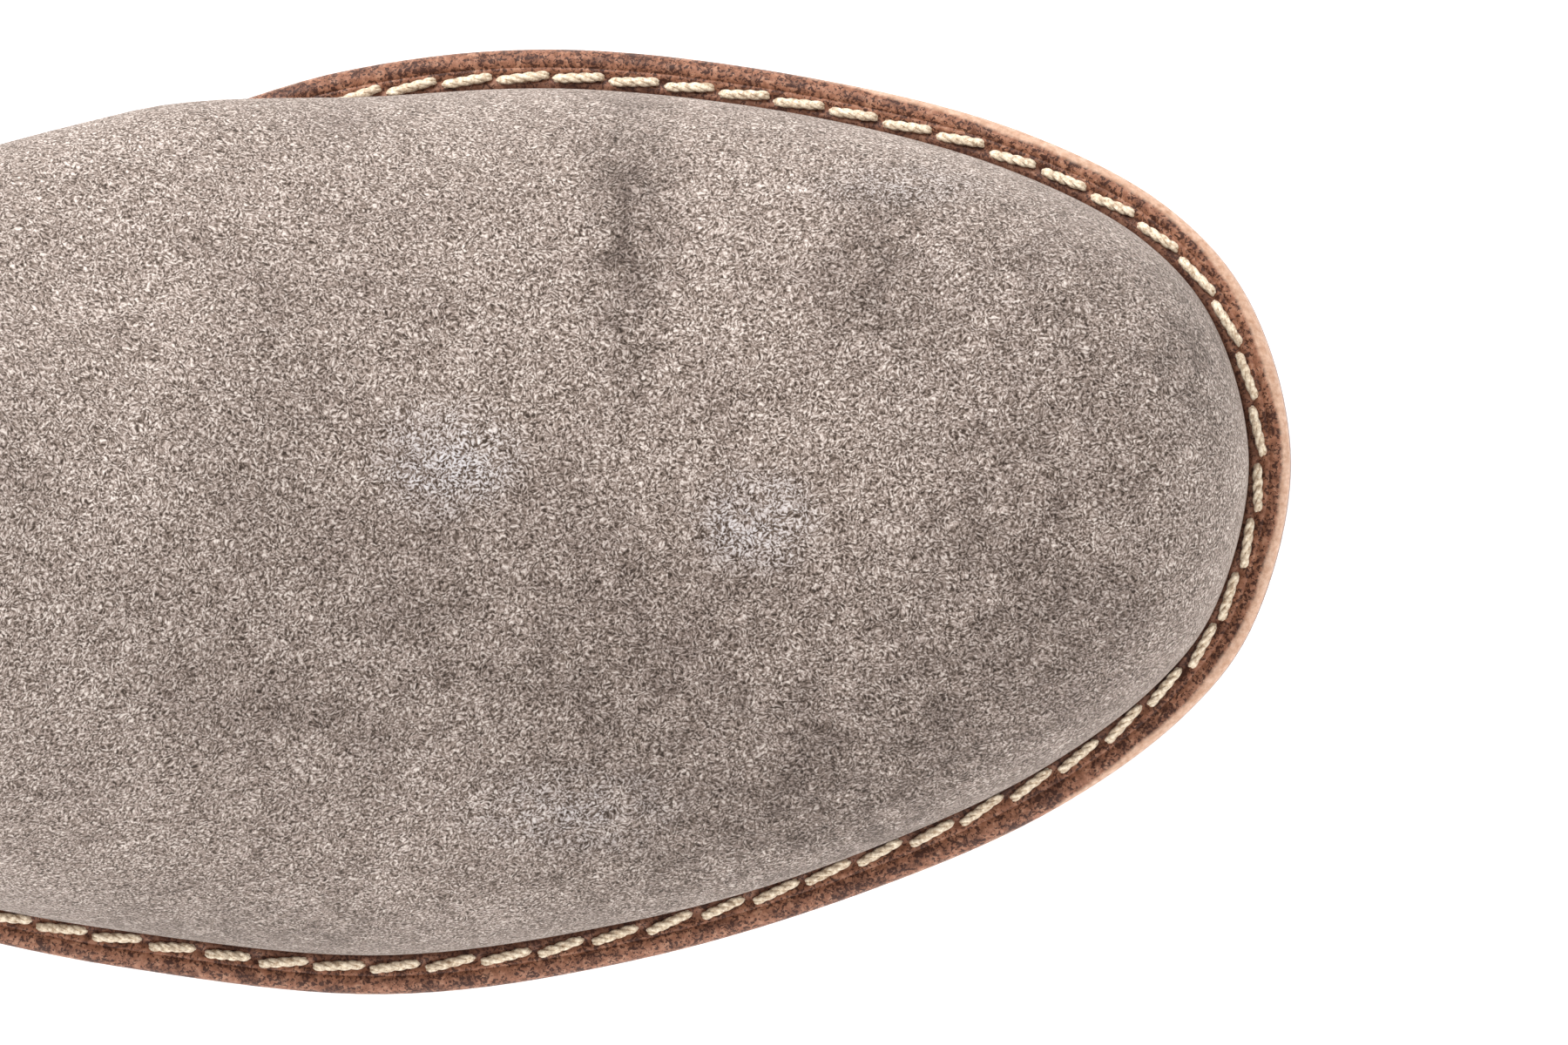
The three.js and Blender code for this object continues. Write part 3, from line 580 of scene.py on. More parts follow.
def grain_leather(name, dark, light, pore_mm, roughness):
    """Grain leather: small pores over a slow drift of colour."""
    made, tree, mm = new_material(name)
    pores = add(tree, "TexVoronoi", {"Vector": mm, "Scale": 1 / pore_mm})
    drift = add(tree, "TexNoise", {"Vector": mm, "Scale": 0.06, "Detail": 4.0})
    drift = add(tree, "Math", {0: drift, 1: 0.75}, operation="MULTIPLY")
    tone = add(tree, "Math", {0: pores, 1: 0.35, 2: drift}, operation="MULTIPLY_ADD")
    colour = add(tree, "ValToRGB", {"Fac": tone}, stops=[(0.25, dark), (0.7, light)])
    relief = add(tree, "Bump", {"Height": pores, "Strength": 0.3, "Distance": 0.12 * MM})
    return surface(made, {"Base Color": colour, "Normal": relief, "Roughness": roughness})


SOLE_LEATHER = stacked_leather()
LINING_LEATHER = grain_leather("pigskin_lining_leather", "#a07c58", "#cba983", 1.3, 0.62)
BINDING_LEATHER = grain_leather("brown_binding_leather", "#4f2f20", "#7f543d", 0.9, 0.5)

# %% [markdown]
# ### Rubber, cork, board, felt, foam and metal
#
# These are the grainy stuffs of the sole and the inside: moulded rubber with a dull bloom, ground cork, pressed
# fibreboard, felt, foam, blued spring steel and brass wire. One rule serves them all: lumps of two tones, with
# a matching relief. The number is how many lumps there are to the millimetre.

# %% Grainy stuffs and metals
def grained(name, dark, light, lumps_per_mm, roughness, metallic=0.0, relief_mm=0.2):
    made, tree, mm = new_material(name)
    lumps = add(tree, "TexNoise", {"Vector": mm, "Scale": lumps_per_mm, "Detail": 4.0, "Roughness": 0.6})
    colour = add(tree, "ValToRGB", {"Fac": lumps}, stops=[(0.35, dark), (0.65, light)])
    relief = add(tree, "Bump", {"Height": lumps, "Strength": 0.4, "Distance": relief_mm * MM})
    finish = {"Base Color": colour, "Normal": relief, "Roughness": roughness, "Metallic": metallic}
    return surface(made, finish)


RUBBER = grained("brown_sole_rubber", "#2c211b", "#3b2d25", 0.9, 0.72)
CORK = grained("ground_cork", "#7d4f2b", "#c2935c", 0.5, 0.9)
BOARD = grained("pressed_fibreboard", "#9a7a50", "#bd9d72", 1.2, 0.88)
FELT = grained("wool_felt_and_foam", "#cfc5b2", "#e8e0d0", 1.6, 0.95)
BED_FOAM = grained("moulded_bed_foam", "#2f2c2a", "#454140", 1.2, 0.9)
STEEL = grained("blued_spring_steel", "#6d7076", "#9a9da3", 0.3, 0.38, 1.0, 0.02)
BRASS = grained("brass_heel_nail", "#a07a35", "#cda75c", 0.6, 0.35, 1.0, 0.02)

# %% [markdown]
# ### Thread and elastic
#
# Welt thread is linen or polyester, twisted from three plies and waxed: cream, slightly glossy, brown in the
# hollows where wax and dirt collect. The elastic is a ribbed weave, its ribs about a millimetre apart, crossed
# by a finer weft. Two wave patterns give it, since ribs and weft are both regular.

# %% Thread and elastic
def waxed_thread(name, dark, light):
    made, tree, mm = new_material(name)
    fibres = add(tree, "TexNoise", {"Vector": mm, "Scale": 2.2, "Detail": 3.0, "Roughness": 0.6})
    colour = add(tree, "ValToRGB", {"Fac": fibres}, stops=[(0.3, dark), (0.62, light)])
    relief = add(tree, "Bump", {"Height": fibres, "Strength": 0.4, "Distance": 0.1 * MM})
    return surface(made, {"Base Color": colour, "Normal": relief, "Roughness": 0.55, "Sheen Weight": 0.15})


def ribbed_elastic():
    made, tree, mm = new_material("ribbed_woven_elastic")
    bands = {"wave_type": "BANDS", "bands_direction": "X"}
    ribs = add(tree, "TexWave", {"Vector": mm, "Scale": 0.3}, "Fac", **bands)
    bands["bands_direction"] = "Z"
    weft = add(tree, "TexWave", {"Vector": mm, "Scale": 0.62}, "Fac", **bands)
    weft = add(tree, "Math", {0: weft, 1: 0.25}, operation="MULTIPLY")
    weave = add(tree, "Math", {0: ribs, 1: 0.75, 2: weft}, operation="MULTIPLY_ADD")
    colour = add(tree, "ValToRGB", {"Fac": weave}, stops=[(0.1, "#2f2723"), (0.9, "#6b5c52")])
    relief = add(tree, "Bump", {"Height": weave, "Strength": 0.7, "Distance": 0.5 * MM})
    return surface(made, {"Base Color": colour, "Normal": relief, "Roughness": 0.85, "Sheen Weight": 0.2})


WELT_THREAD = waxed_thread("waxed_linen_welt_thread", "#a88a6a", "#fbecd3")
SEAM_THREAD = waxed_thread("fine_upper_thread", "#8f7f6f", "#c9bba9")
ELASTIC = ribbed_elastic()

# %% [markdown]
# ## Handing a piece to the frame
#
# A finished piece gets its material, rides on the frame's one body, and hides the plain solids it stands
# for. In a shoe nothing moves, so every piece rides on the root.

# %% Hand a finished piece to the frame
def finish_piece(piece, stuff, slot, *nodes):
    """Gives the piece its material and hides the CAD nodes it stands for. The slot is not used."""
    piece.data.materials.clear()
    piece.data.materials.append(stuff)
    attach(piece, "root")
    if nodes:
        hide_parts(*nodes)
    print(f"{piece.name}: {sum(len(p.vertices) - 2 for p in piece.data.polygons)} triangles")
    return piece


print(len(bpy.data.materials), "materials are ready")

# %% [markdown]
# ## The welt
#
# The welt is a leather strip, 16 mm wide, sewn to the upper and insole and then down through the midsole.
# Its edge is rounded with an iron, a creasing tool leaves a fine line beside it, and a channel is pressed for
# the thread. All of that is one profile swept round the shoe, so the profile carries the whole shape.

# %% The welt
WELT_WIDTH, CHANNEL = 16.0, 3.2  # the channel's middle, in from the edge
welt_profile = [
    (0.35, BASE), (0.08, BASE + 0.45), (0.0, BASE + 1.1), (0.1, BASE + 1.75), (0.38, BASE + 2.3),
    (0.8, BASE + 2.64), (1.25, BASE + 2.77), (1.7, BASE + 2.76), (1.95, BASE + 2.66), (2.08, BASE + 2.54),
    (2.2, BASE + 2.64), (2.4, BASE + 2.66), (2.65, BASE + 2.56), (2.95, BASE + 2.38), (CHANNEL, BASE + 2.32),
    (3.5, BASE + 2.38), (3.75, BASE + 2.56), (4.0, BASE + 2.62), (4.3, BASE + 2.5), (4.9, BASE + 2.45),
    (7.0, BASE + 2.45), (WELT_WIDTH, BASE + 2.45), (WELT_WIDTH, BASE),
]  # fmt: skip


def welt_inset(inset):
    """On the toe's outer corner the channel and its thread lie a little further from the edge."""
    wider = (0.05 + 0.45 * ease(0.5 - EDGE[:, 1] / 60)) * ease((EDGE[:, 0] / LENGTH - 0.72) / 0.2)
    return inset + wider * np.clip((inset - 1.4) / 1.2, 0, 1) * (inset < 6)


def sweep(name, profile):
    """A closed strip round the shoe. The profile is (inset, height) points, seen with the outside left."""
    rings = [ring(welt_inset(inset), height) for inset, height in profile]
    steps = np.linalg.norm(np.diff(rings[0], axis=0, append=rings[0][:1]), axis=1)
    u = np.concatenate([[0], np.cumsum(steps)[:-1]])
    uv = np.concatenate([np.column_stack([u, np.full(RING, inset)]) for inset, _ in profile])
    return tidy(mesh_piece(name, np.vstack(rings), ring_faces(len(rings), RING, True), uv * MM))


welt = sweep("welt_strip", welt_profile)
finish_piece(welt, WELT_LEATHER, "welt_leather", "welt")

# %% [markdown]
# ## One twisted stitch
#
# Welt thread is twisted from three plies. It comes up through one awl hole and goes down through the next. A
# curve with a bevel could be a round cord, but the twist is what the eye knows thread by, so a stitch is three
# tubes wound round each other, with their ends bent down.

# %% Tubes along a path, and a stitch
def tube(path, radius, sides):
    """Points and faces of a capped tube along a path."""
    path = np.asarray(path, float)
    radius = np.broadcast_to(radius, len(path))
    tangent = np.gradient(path, axis=0)
    tangent /= np.linalg.norm(tangent, axis=1)[:, None]
    side = np.cross(tangent, (0.03, 0.02, 1.0))
    side /= np.linalg.norm(side, axis=1)[:, None]
    third = np.cross(tangent, side)
    turn = 2 * np.pi * np.arange(sides) / sides
    circle = np.cos(turn)[None, :, None] * side[:, None] + np.sin(turn)[None, :, None] * third[:, None]
    points = (path[:, None] + circle * radius[:, None, None]).reshape(-1, 3)
    faces = ring_faces(len(path), sides)
    faces += [list(range(sides))[::-1], [(len(path) - 1) * sides + i for i in range(sides)]]
    return points, faces


def joined(parts):
    points, faces, base = [], [], 0
    for p, f in parts:
        points.append(p)
        faces += [[i + base for i in face] for face in f]
        base += len(p)
    return np.vstack(points), faces


def twisted_stitch(length, thread_radius, twist, plies=3, steps=22, sides=6, dive=1.0):
    """A stitch along x, whose plies turn once round in each twist length and whose ends dive down."""
    s = np.linspace(-1, 1, steps)
    arch = thread_radius * 0.55 * (1 - np.abs(s) ** 3) - dive * np.clip((np.abs(s) - 0.8) / 0.2, 0, 1) ** 1.5
    swell = 1 - 0.35 * np.abs(s) ** 5
    ply_radius, wind = thread_radius * 0.56, thread_radius * 0.5
    parts = []
    for ply in range(plies):
        turn = 2 * np.pi * (s * length / 2 / twist + ply / plies)
        path = np.column_stack([s * length / 2, wind * swell * np.cos(turn), arch + wind * swell * np.sin(turn)])
        parts.append(tube(path, ply_radius * swell, sides))
    return joined(parts)


stitch_points, stitch_faces = twisted_stitch(5.85, 0.55, 4.2)
print("one stitch has", len(stitch_faces), "faces")

# %% [markdown]
# ## The row of welt stitches
#
# Four stitches to the inch is a pitch of 6.35 mm. The stitch is copied along the channel, and because a hand
# holds the awl a little askew, each copy has its own small slant, shift and length.

# %% The row of welt stitches
PITCH, SLANT = 6.35, 7  # mm, degrees
rng = np.random.default_rng(7)


def along(line, pitch, closed=True):
    """Places at even steps along a line: points and tangents."""
    line = np.vstack([line, line[:1]]) if closed else np.asarray(line)
    run = np.concatenate([[0], np.cumsum(np.linalg.norm(np.diff(line, axis=0), axis=1))])
    count = max(1, round(run[-1] / pitch))
    at = (np.arange(count) + 0.5) * run[-1] / count
    points = np.column_stack([np.interp(at, run, line[:, i]) for i in range(line.shape[1])])
    ahead = np.column_stack([np.interp(at + 0.4, run, line[:, i]) for i in range(line.shape[1])])
    behind = np.column_stack([np.interp(at - 0.4, run, line[:, i]) for i in range(line.shape[1])])
    tangent = ahead - behind
    return points, tangent / np.linalg.norm(tangent, axis=1)[:, None]


def copies(name, points, faces, places):
    """One mesh that holds a copy of a small shape at each (origin, x axis, y axis, z axis)."""
    all_points, all_faces = [], []
    for n, (origin, *axes) in enumerate(places):
        all_points.append(origin + points @ np.array(axes))
        all_faces += [[i + n * len(points) for i in f] for f in faces]
    return tidy(mesh_piece(name, np.vstack(all_points), all_faces), 60)


at, tangent = along(ring(welt_inset(CHANNEL), BASE + 2.6), PITCH)
places = []
for p, t in zip(at, tangent):
    side = np.cross((0, 0, 1), t)
    slant = math.radians(SLANT + rng.normal(0, 2))
    x = t * math.cos(slant) + side / np.linalg.norm(side) * math.sin(slant)
    y = np.cross((0, 0, 1), x)
    y /= np.linalg.norm(y)
    size = 1 + rng.normal(0, 0.03)
    places.append((p + y * rng.normal(0, 0.06), x * size, y, np.cross(x, y)))
thread_row = copies("welt_stitch_row", stitch_points, stitch_faces, places)
finish_piece(thread_row, WELT_THREAD, "thread", "welt_stitching")
print(len(places), "stitches")

# %% [markdown]
# ## Midsole and outsole
#
# Both are plates cut to the outline, with trimmed and slightly rounded edges. A box could be cut to the outline
# and bent, but the bend must be the welt's own. So a plate is a stack of rings round its edge, closed above and
# below by quads from side to side.

# %% Plates
def edge_profile(inset, low, high, bevel, steps=3):
    """Round the plate's edge from top to underside, with rounded corners."""
    turn = np.linspace(0, np.pi / 2, steps + 1)
    top = [(inset + bevel - bevel * math.sin(a), high - bevel + bevel * math.cos(a)) for a in turn]
    return [*top, *[(i, high + low - h) for i, h in reversed(top)]]


def slab(name, profile):
    """A plate as wide as the shoe. The profile runs round its edge, from its top to its underside."""
    rings = [ring(inset, height) for inset, height in profile]
    faces = ring_faces(len(rings), RING)
    for base in (0, (len(rings) - 1) * RING):
        for k in range(STATIONS):
            corners = [k, k + 1, (RING - k - 1) % RING, (RING - k) % RING]
            kept = list(dict.fromkeys(corners))
            faces.append([base + c for c in kept])
    uv = np.concatenate([np.column_stack([r[:, 0], r[:, 2]]) for r in rings])
    return tidy(mesh_piece(name, np.vstack(rings), faces, uv * MM))


midsole = slab("midsole_plate", edge_profile(0.0, OUTSOLE + GLUE, OUTSOLE + GLUE + MIDSOLE, 0.5))
finish_piece(midsole, SOLE_LEATHER, "sole_leather", "midsole")
outsole = slab("outsole_plate", edge_profile(0.8, 0, OUTSOLE, 0.7))
finish_piece(outsole, RUBBER, "sole_rubber", "outsole")

# %% [markdown]
# ## The heel
#
# The heel is a stack: two leather lifts and a rubber top piece. Their front, the breast, curves back towards
# the middle. Each layer is a full level plate that a big round cutter trims with the Boolean modifier, as the
# maker trims a stack with a curved knife.

# %% The heel's layers
LIFT, TOP_PIECE = 5.4, 6.0
BREAST, BREAST_HOLLOW = 76.0, 4.0  # how far from the heel's back, and how deep its curve


def apply(piece, kind, **settings):
    """Adds a modifier by hand's way and applies it."""
    modifier = piece.modifiers.new(kind.lower(), kind)
    for key, value in settings.items():
        setattr(modifier, key, value)
    choose(piece)
    bpy.ops.object.modifier_apply(modifier=modifier.name)


def level_plate(name, low, high, bevel):
    """A plate like the sole's, but level."""
    plate = slab(name, edge_profile(0.8, low, high, bevel))
    points = np.empty(len(plate.data.vertices) * 3, np.float32)
    plate.data.vertices.foreach_get("co", points)
    points = points.reshape(-1, 3)
    points[:, 2] -= sole(points[:, 0] / MM - HOME[0]) * MM
    plate.data.vertices.foreach_set("co", points.ravel())
    return plate


def breast_cutter():
    """A tall drum whose side has the curve of the heel's breast."""
    radius = ((WIDTH / 2) ** 2 + BREAST_HOLLOW**2) / (2 * BREAST_HOLLOW)
    clear_selection()
    centre = (np.array([BREAST - BREAST_HOLLOW + radius, 0, 20]) + HOME) * MM
    bpy.ops.mesh.primitive_cylinder_add(vertices=360, radius=radius * MM, depth=0.2, location=centre)
    return bpy.context.active_object


drum = breast_cutter()
lower, upper = TOP_PIECE + GLUE, TOP_PIECE + LIFT + 2 * GLUE
for name, low, high, stuff, slot, node in (
    ("heel_rubber_top_piece", 0, TOP_PIECE, RUBBER, "sole_rubber", "heel_top_piece"),
    ("heel_leather_lift_lower", lower, lower + LIFT, SOLE_LEATHER, "sole_leather", "heel_lift_lower"),
    ("heel_leather_lift_upper", upper, upper + LIFT, SOLE_LEATHER, "sole_leather", "heel_lift_upper"),
):
    heel_layer = level_plate(name, low, high, 0.35)
    apply(heel_layer, "BOOLEAN", object=drum, operation="DIFFERENCE", solver="EXACT")
    finish_piece(tidy(heel_layer, 30), stuff, slot, node)
bpy.data.objects.remove(drum)

# %% [markdown]
# ## The heel's nails
#
# Five brass nails hold the stack together. Each is a cylinder at its solid's own place and size, and a Bevel
# modifier rounds its ends.

# %% Heel nails
for i in range(1, 6):
    low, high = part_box(f"heel_nail_{i}")
    clear_selection()
    bpy.ops.mesh.primitive_cylinder_add(
        vertices=20, radius=(high.x - low.x) / 2, depth=high.z - low.z, location=(low + high) / 2
    )
    nail = bpy.context.active_object
    nail.name = f"heel_brass_nail_{i}"
    bpy.ops.object.transform_apply(location=True, rotation=True, scale=True)
    apply(nail, "BEVEL", width=0.0003, segments=2, limit_method="ANGLE")
    finish_piece(tidy(nail, 35), BRASS, "nail_brass", f"heel_nail_{i}")

# %% [markdown]
# ## The layers of the upper
#
# Every layer is two copies of the last's surface, one at its outer face and one at its inner face, with its
# lower edge turned in under the foot as it is when the upper is lasted. The layers are then cut to their
# pattern pieces with the Boolean modifier, because a shoe's pattern is drawn on the side of the last.

# %% A whole layer
FLANGE = 11.0  # the width turned in under the foot


def moved_last(outwards, lift):
    """The last's surface moved along its normals, with its foot at a height above the feather line."""
    grid = LAST + LAST_NORMALS * outwards
    grid[0, :, 2] = sole(grid[0, :, 0]) + FEATHER + lift
    return grid


def layer(name, outer, inner, foot_outer, foot_inner, flange=FLANGE):
    """A closed shell between two copies of the last, with a flange turned in at its foot."""
    sheets = []
    for outwards, lift in ((outer, foot_outer), (inner, foot_inner)):
        insets = [WELT_SHOW - outwards + f for f in (flange, flange * 0.5)] if flange else []
        turned = [ring(inset, FEATHER + lift) for inset in insets]
        sheets.append(np.concatenate([np.reshape(turned, (-1, RING, 3)), moved_last(outwards, lift)]))
    rows = len(sheets[0])
    rise = np.linalg.norm(np.diff(sheets[0], axis=0), axis=2).cumsum(axis=0)
    rise = np.vstack([np.zeros(RING), rise]) - flange
    u = np.broadcast_to(np.arange(RING) * 4.0, rise.shape)
    uv = np.dstack([u, rise]).reshape(-1, 2) * MM  # the second number is the height up the wall
    faces = ring_faces(rows, RING)
    faces += [[a + rows * RING for a in f[::-1]] for f in ring_faces(rows, RING)]
    faces += [[(i + 1) % RING, i, i + rows * RING, (i + 1) % RING + rows * RING] for i in range(RING)]
    return tidy(mesh_piece(name, np.concatenate(sheets).reshape(-1, 3), faces, np.vstack([uv, uv])), 50)


print("a layer has", 2 * (ROWS + 3), "rings")

# %% [markdown]
# ### Pattern lines
#
# The lines of the pattern are drawn in the side view: the mouth's edge, the seam between vamp and quarter,
# and the elastic wedge. Each becomes the outline of a flat face that is extruded right through the shoe.

# %% Pattern lines
TOPLINE = np.array(
    [(-0.035, 92), (0.04, 89), (0.14, 80), (0.255, 74.5), (0.355, 77), (0.423, 83.5), (0.466, 92),
     (0.497, 103), (0.514, 118)]
)  # fmt: skip
SIDE_SEAM = np.array([(0.428, 57), (0.405, 45), (0.37, 32), (0.33, 20), (0.31, 4)])
GORE_FRONT = np.array([(0.438, 56), (0.476, 112)])
GORE_BACK = np.array([(0.418, 56), (0.376, 112)])
topline = open_spline(TOPLINE * (LENGTH, 1), 12)
seam = open_spline(SIDE_SEAM * (LENGTH, 1), 12)
gore_front, gore_back = GORE_FRONT * (LENGTH, 1), GORE_BACK * (LENGTH, 1)
print("the mouth dips to", round(topline[:, 1].min(), 1), "mm over the ground")

# %% [markdown]
# ### Cutters
#
# A cutter is a block whose outline, seen from the side, follows pattern lines and then goes far past the shoe.
# It starts as a flat circle with as many corners as the outline has, takes the outline's place, and is
# extruded across. Small gaps between neighbouring cutters keep the pieces apart by the width of a seam.

# %% Cutters
SKY, FAR = 300, 400
SEAM_GAP = 0.15  # mm, half the gap between two pieces


def side_cutter(name, outline, y_from=-FAR, y_to=FAR):
    """A flat face with the outline, seen from the side, extruded across the shoe."""
    outline = np.asarray(outline, float)
    clear_selection()
    bpy.ops.mesh.primitive_circle_add(vertices=len(outline), radius=1, fill_type="NGON")
    cutter = bpy.context.active_object
    cutter.name = name
    flat = np.column_stack([outline[:, 0], np.full(len(outline), y_from), outline[:, 1]])
    cutter.data.vertices.foreach_set("co", ((flat + HOME) * MM).ravel())
    bpy.ops.object.mode_set(mode="EDIT")
    bpy.ops.mesh.select_all(action="SELECT")
    bpy.ops.mesh.extrude_region_move(TRANSFORM_OT_translate={"value": (0, (y_to - y_from) * MM, 0)})
    bpy.ops.mesh.select_all(action="SELECT")
    bpy.ops.mesh.normals_make_consistent(inside=False)
    bpy.ops.object.mode_set(mode="OBJECT")
    return cutter


def above_topline(raise_by=0.0):
    step = np.gradient(topline, axis=0)
    up = np.column_stack([-step[:, 1], step[:, 0]])
    line = topline + up / np.linalg.norm(up, axis=1)[:, None] * raise_by
    return side_cutter("sky", [(-FAR, line[0, 1]), *line, (line[-1, 0], SKY), (-FAR, SKY)])


def ahead_of_seam(forwards):
    line = seam + (forwards, 0)
    front = [(line[-1, 0], -FAR), (2 * FAR, -FAR), (2 * FAR, SKY)]
    return side_cutter("ahead", [(line[0, 0], SKY), *line, *front])


def gore_region(grow):
    back = [gore_back[1] + (-grow, 0), gore_back[0] + (-grow, -grow)]
    front = [gore_front[0] + (grow, -grow), gore_front[1] + (grow, 0)]
    return side_cutter("wedge", [back[1], *front, back[0]])


sky, ahead, behind_seam = above_topline(), ahead_of_seam(SEAM_GAP), ahead_of_seam(-SEAM_GAP)
wedge, wedge_gap = gore_region(0), gore_region(2 * SEAM_GAP)
heel_y = rim(WELT_SHOW)[STATIONS, 1]  # the middle of the heel
whole_side = [(-FAR, -FAR), (2 * FAR, -FAR), (2 * FAR, SKY), (-FAR, SKY)]
inner_half = side_cutter("inner_half", whole_side, heel_y + SEAM_GAP, FAR)
outer_half = side_cutter("outer_half", whole_side, -FAR, heel_y - SEAM_GAP)
print("the wedge is", round(gore_front[1, 0] - gore_back[1, 0], 1), "mm wide where the pattern ends")

# %% [markdown]
# ### Vamp, quarters and elastic wedges
#
# One hide is laid over the whole last, 1.6 mm thick, and the mouth is cut out of it. A copy is trimmed to the
# vamp, and another to the two quarters. The elastic lies a little lower than the suede, so its edges show as a
# step.

# %% Suede and elastic pieces
SUEDE_THICK = 1.6


def cut(piece, *steps):
    """Boolean steps, each ("DIFFERENCE" or "INTERSECT", cutter)."""
    for operation, cutter in steps:
        apply(piece, "BOOLEAN", object=cutter, operation=operation, solver="EXACT")
    apply(piece, "TRIANGULATE")  # many-sided faces could fold over into slivers when they are exported
    return piece


def copy_of(piece, name):
    twin = piece.copy()
    twin.data = piece.data.copy()
    twin.name = name
    bpy.context.scene.collection.objects.link(twin)
    return twin


hide = cut(layer("hide", 0.0, -SUEDE_THICK, 0.05, SUEDE_THICK), ("DIFFERENCE", sky))
vamp = cut(copy_of(hide, "suede_vamp"), ("INTERSECT", ahead), ("DIFFERENCE", wedge_gap))
rear = cut(copy_of(hide, "rear"), ("DIFFERENCE", behind_seam), ("DIFFERENCE", wedge_gap))
inner_quarter = cut(copy_of(rear, "suede_inner_quarter"), ("INTERSECT", inner_half))
outer_quarter = cut(copy_of(rear, "suede_outer_quarter"), ("INTERSECT", outer_half))
finish_piece(tidy(vamp, 50), SUEDE, "suede", "vamp")
finish_piece(tidy(inner_quarter, 50), SUEDE, "suede", "inner_quarter")
finish_piece(tidy(outer_quarter, 50), SUEDE, "suede", "outer_quarter")
elastic = cut(layer("elastic", -0.35, -1.5, 0, SUEDE_THICK), ("DIFFERENCE", sky), ("INTERSECT", wedge))
inner_gore = cut(copy_of(elastic, "elastic_inner_gore"), ("INTERSECT", inner_half))
outer_gore = cut(copy_of(elastic, "elastic_outer_gore"), ("INTERSECT", outer_half))
finish_piece(tidy(inner_gore, 50), ELASTIC, "elastic", "inner_gore")
finish_piece(tidy(outer_gore, 50), ELASTIC, "elastic", "outer_gore")
for spare in (hide, rear, elastic):
    bpy.data.objects.remove(spare)

# %% [markdown]
# ### Lining
#
# Under the suede lie stiffeners, felt and foam, and inside them the leather lining, which is what shows in the
# mouth. It is a layer of the same last, 3.4 mm under the suede's face, in two pieces that meet at the side seam.

# %% Lining
LINING_OUTER, LINING_INNER = -3.4, -4.4
inside = cut(layer("inside", LINING_OUTER, LINING_INNER, 1.9, 2.9), ("DIFFERENCE", sky))
front_lining = cut(copy_of(inside, "leather_vamp_lining"), ("INTERSECT", ahead))
back_lining = cut(copy_of(inside, "leather_quarter_lining"), ("DIFFERENCE", behind_seam))
finish_piece(tidy(front_lining, 50), LINING_LEATHER, "lining_leather", "vamp_lining")
finish_piece(tidy(back_lining, 50), LINING_LEATHER, "lining_leather", "quarter_lining")
bpy.data.objects.remove(inside)

# %% [markdown]
# ### Backstay
#
# A suede strip covers the seam between the quarters at the heel. It lies on the quarters, so it is a layer
# outside the last's surface, cut to a strip 24 mm wide that stops below the binding.

# %% Backstay
STRIP_HALF, STRIP_OUTER, STRIP_INNER = 12.0, 1.4, 0.25
strip_side = [(-FAR, -FAR), (HEEL_REACH, -FAR), (HEEL_REACH, SKY), (-FAR, SKY)]
strip_box = side_cutter("strip", strip_side, heel_y - STRIP_HALF, heel_y + STRIP_HALF)
backstay_sky = above_topline(-5.3)
backstay = layer("suede_backstay", STRIP_OUTER, STRIP_INNER, 2.0, 2.4, 0)
cut(backstay, ("INTERSECT", strip_box), ("DIFFERENCE", backstay_sky))
finish_piece(tidy(backstay, 50), SUEDE, "suede", "backstay")

# %% [markdown]
# ### The edge of the mouth
#
# The mouth's edge is where the topline, drawn in the side view, meets the two walls of the last. A ray from
# the middle of the shoe finds it, once towards each side, and the closed line that results is smoothed a little.

# %% The topline's path on the last
def surface_tree(outwards):
    """A search tree on one copy of the last, for laying seams on it."""
    grid = moved_last(outwards, 0)
    faces = ring_faces(len(grid), RING)
    return BVHTree.FromPolygons(grid.reshape(-1, 3).tolist(), faces)


ON_SUEDE = surface_tree(0.0)


def onto_wall(x, z, sign, tree=ON_SUEDE):
    """The wall's point and normal seen from the ridge, at x and z in the side view."""
    hit = tree.ray_cast(Vector((x, heel_y, z)), Vector((0, sign, 0)))
    return None if hit[0] is None else (np.array(hit[0]), np.array(hit[1]) * sign * np.sign(hit[1][1] or 1))


def topline_path(count=220):
    """Points round the mouth: up the inner wall to the instep and back along the outer one."""
    run, knots = np.linspace(0, 1, 4000), np.linspace(0, 1, len(topline))
    x, z = np.interp(run, knots, topline[:, 0]), np.interp(run, knots, topline[:, 1])
    inside_wall = [i for i in range(len(x)) if onto_wall(x[i], z[i], 1) and onto_wall(x[i], z[i], -1)]
    first, final = inside_wall[0], inside_wall[-1]
    share = (1 - np.cos(2 * np.pi * (np.arange(count) + 0.5) / count)) / 2
    points = []
    for n, s in enumerate(share):
        at = first + (final - first) * s
        px, pz = np.interp(at, np.arange(len(x)), x), np.interp(at, np.arange(len(x)), z)
        hit = onto_wall(px, pz, 1 if n < count / 2 else -1)
        if hit:
            points.append(hit[0])
    return np.array(points)


def smoothed(line, times):
    for _ in range(times):
        line = line * 0.5 + (np.roll(line, 1, axis=0) + np.roll(line, -1, axis=0)) * 0.25
    return line


mouth_line, _ = along(smoothed(topline_path(), 6), 1.2)
mouth_line = smoothed(mouth_line, 3)
print(len(mouth_line), "steps round the mouth,", round(np.ptp(mouth_line[:, 0]), 1), "mm long")

# %% [markdown]
# ### The folded binding
#
# The raw edges of suede, foam and lining are covered by a folded leather strip. It is a sweep along the mouth's
# edge, and its section is a rounded U that reaches 5 mm down on both sides. At each step the section is set up
# by the wall's own normal, so the binding leans as the wall does.

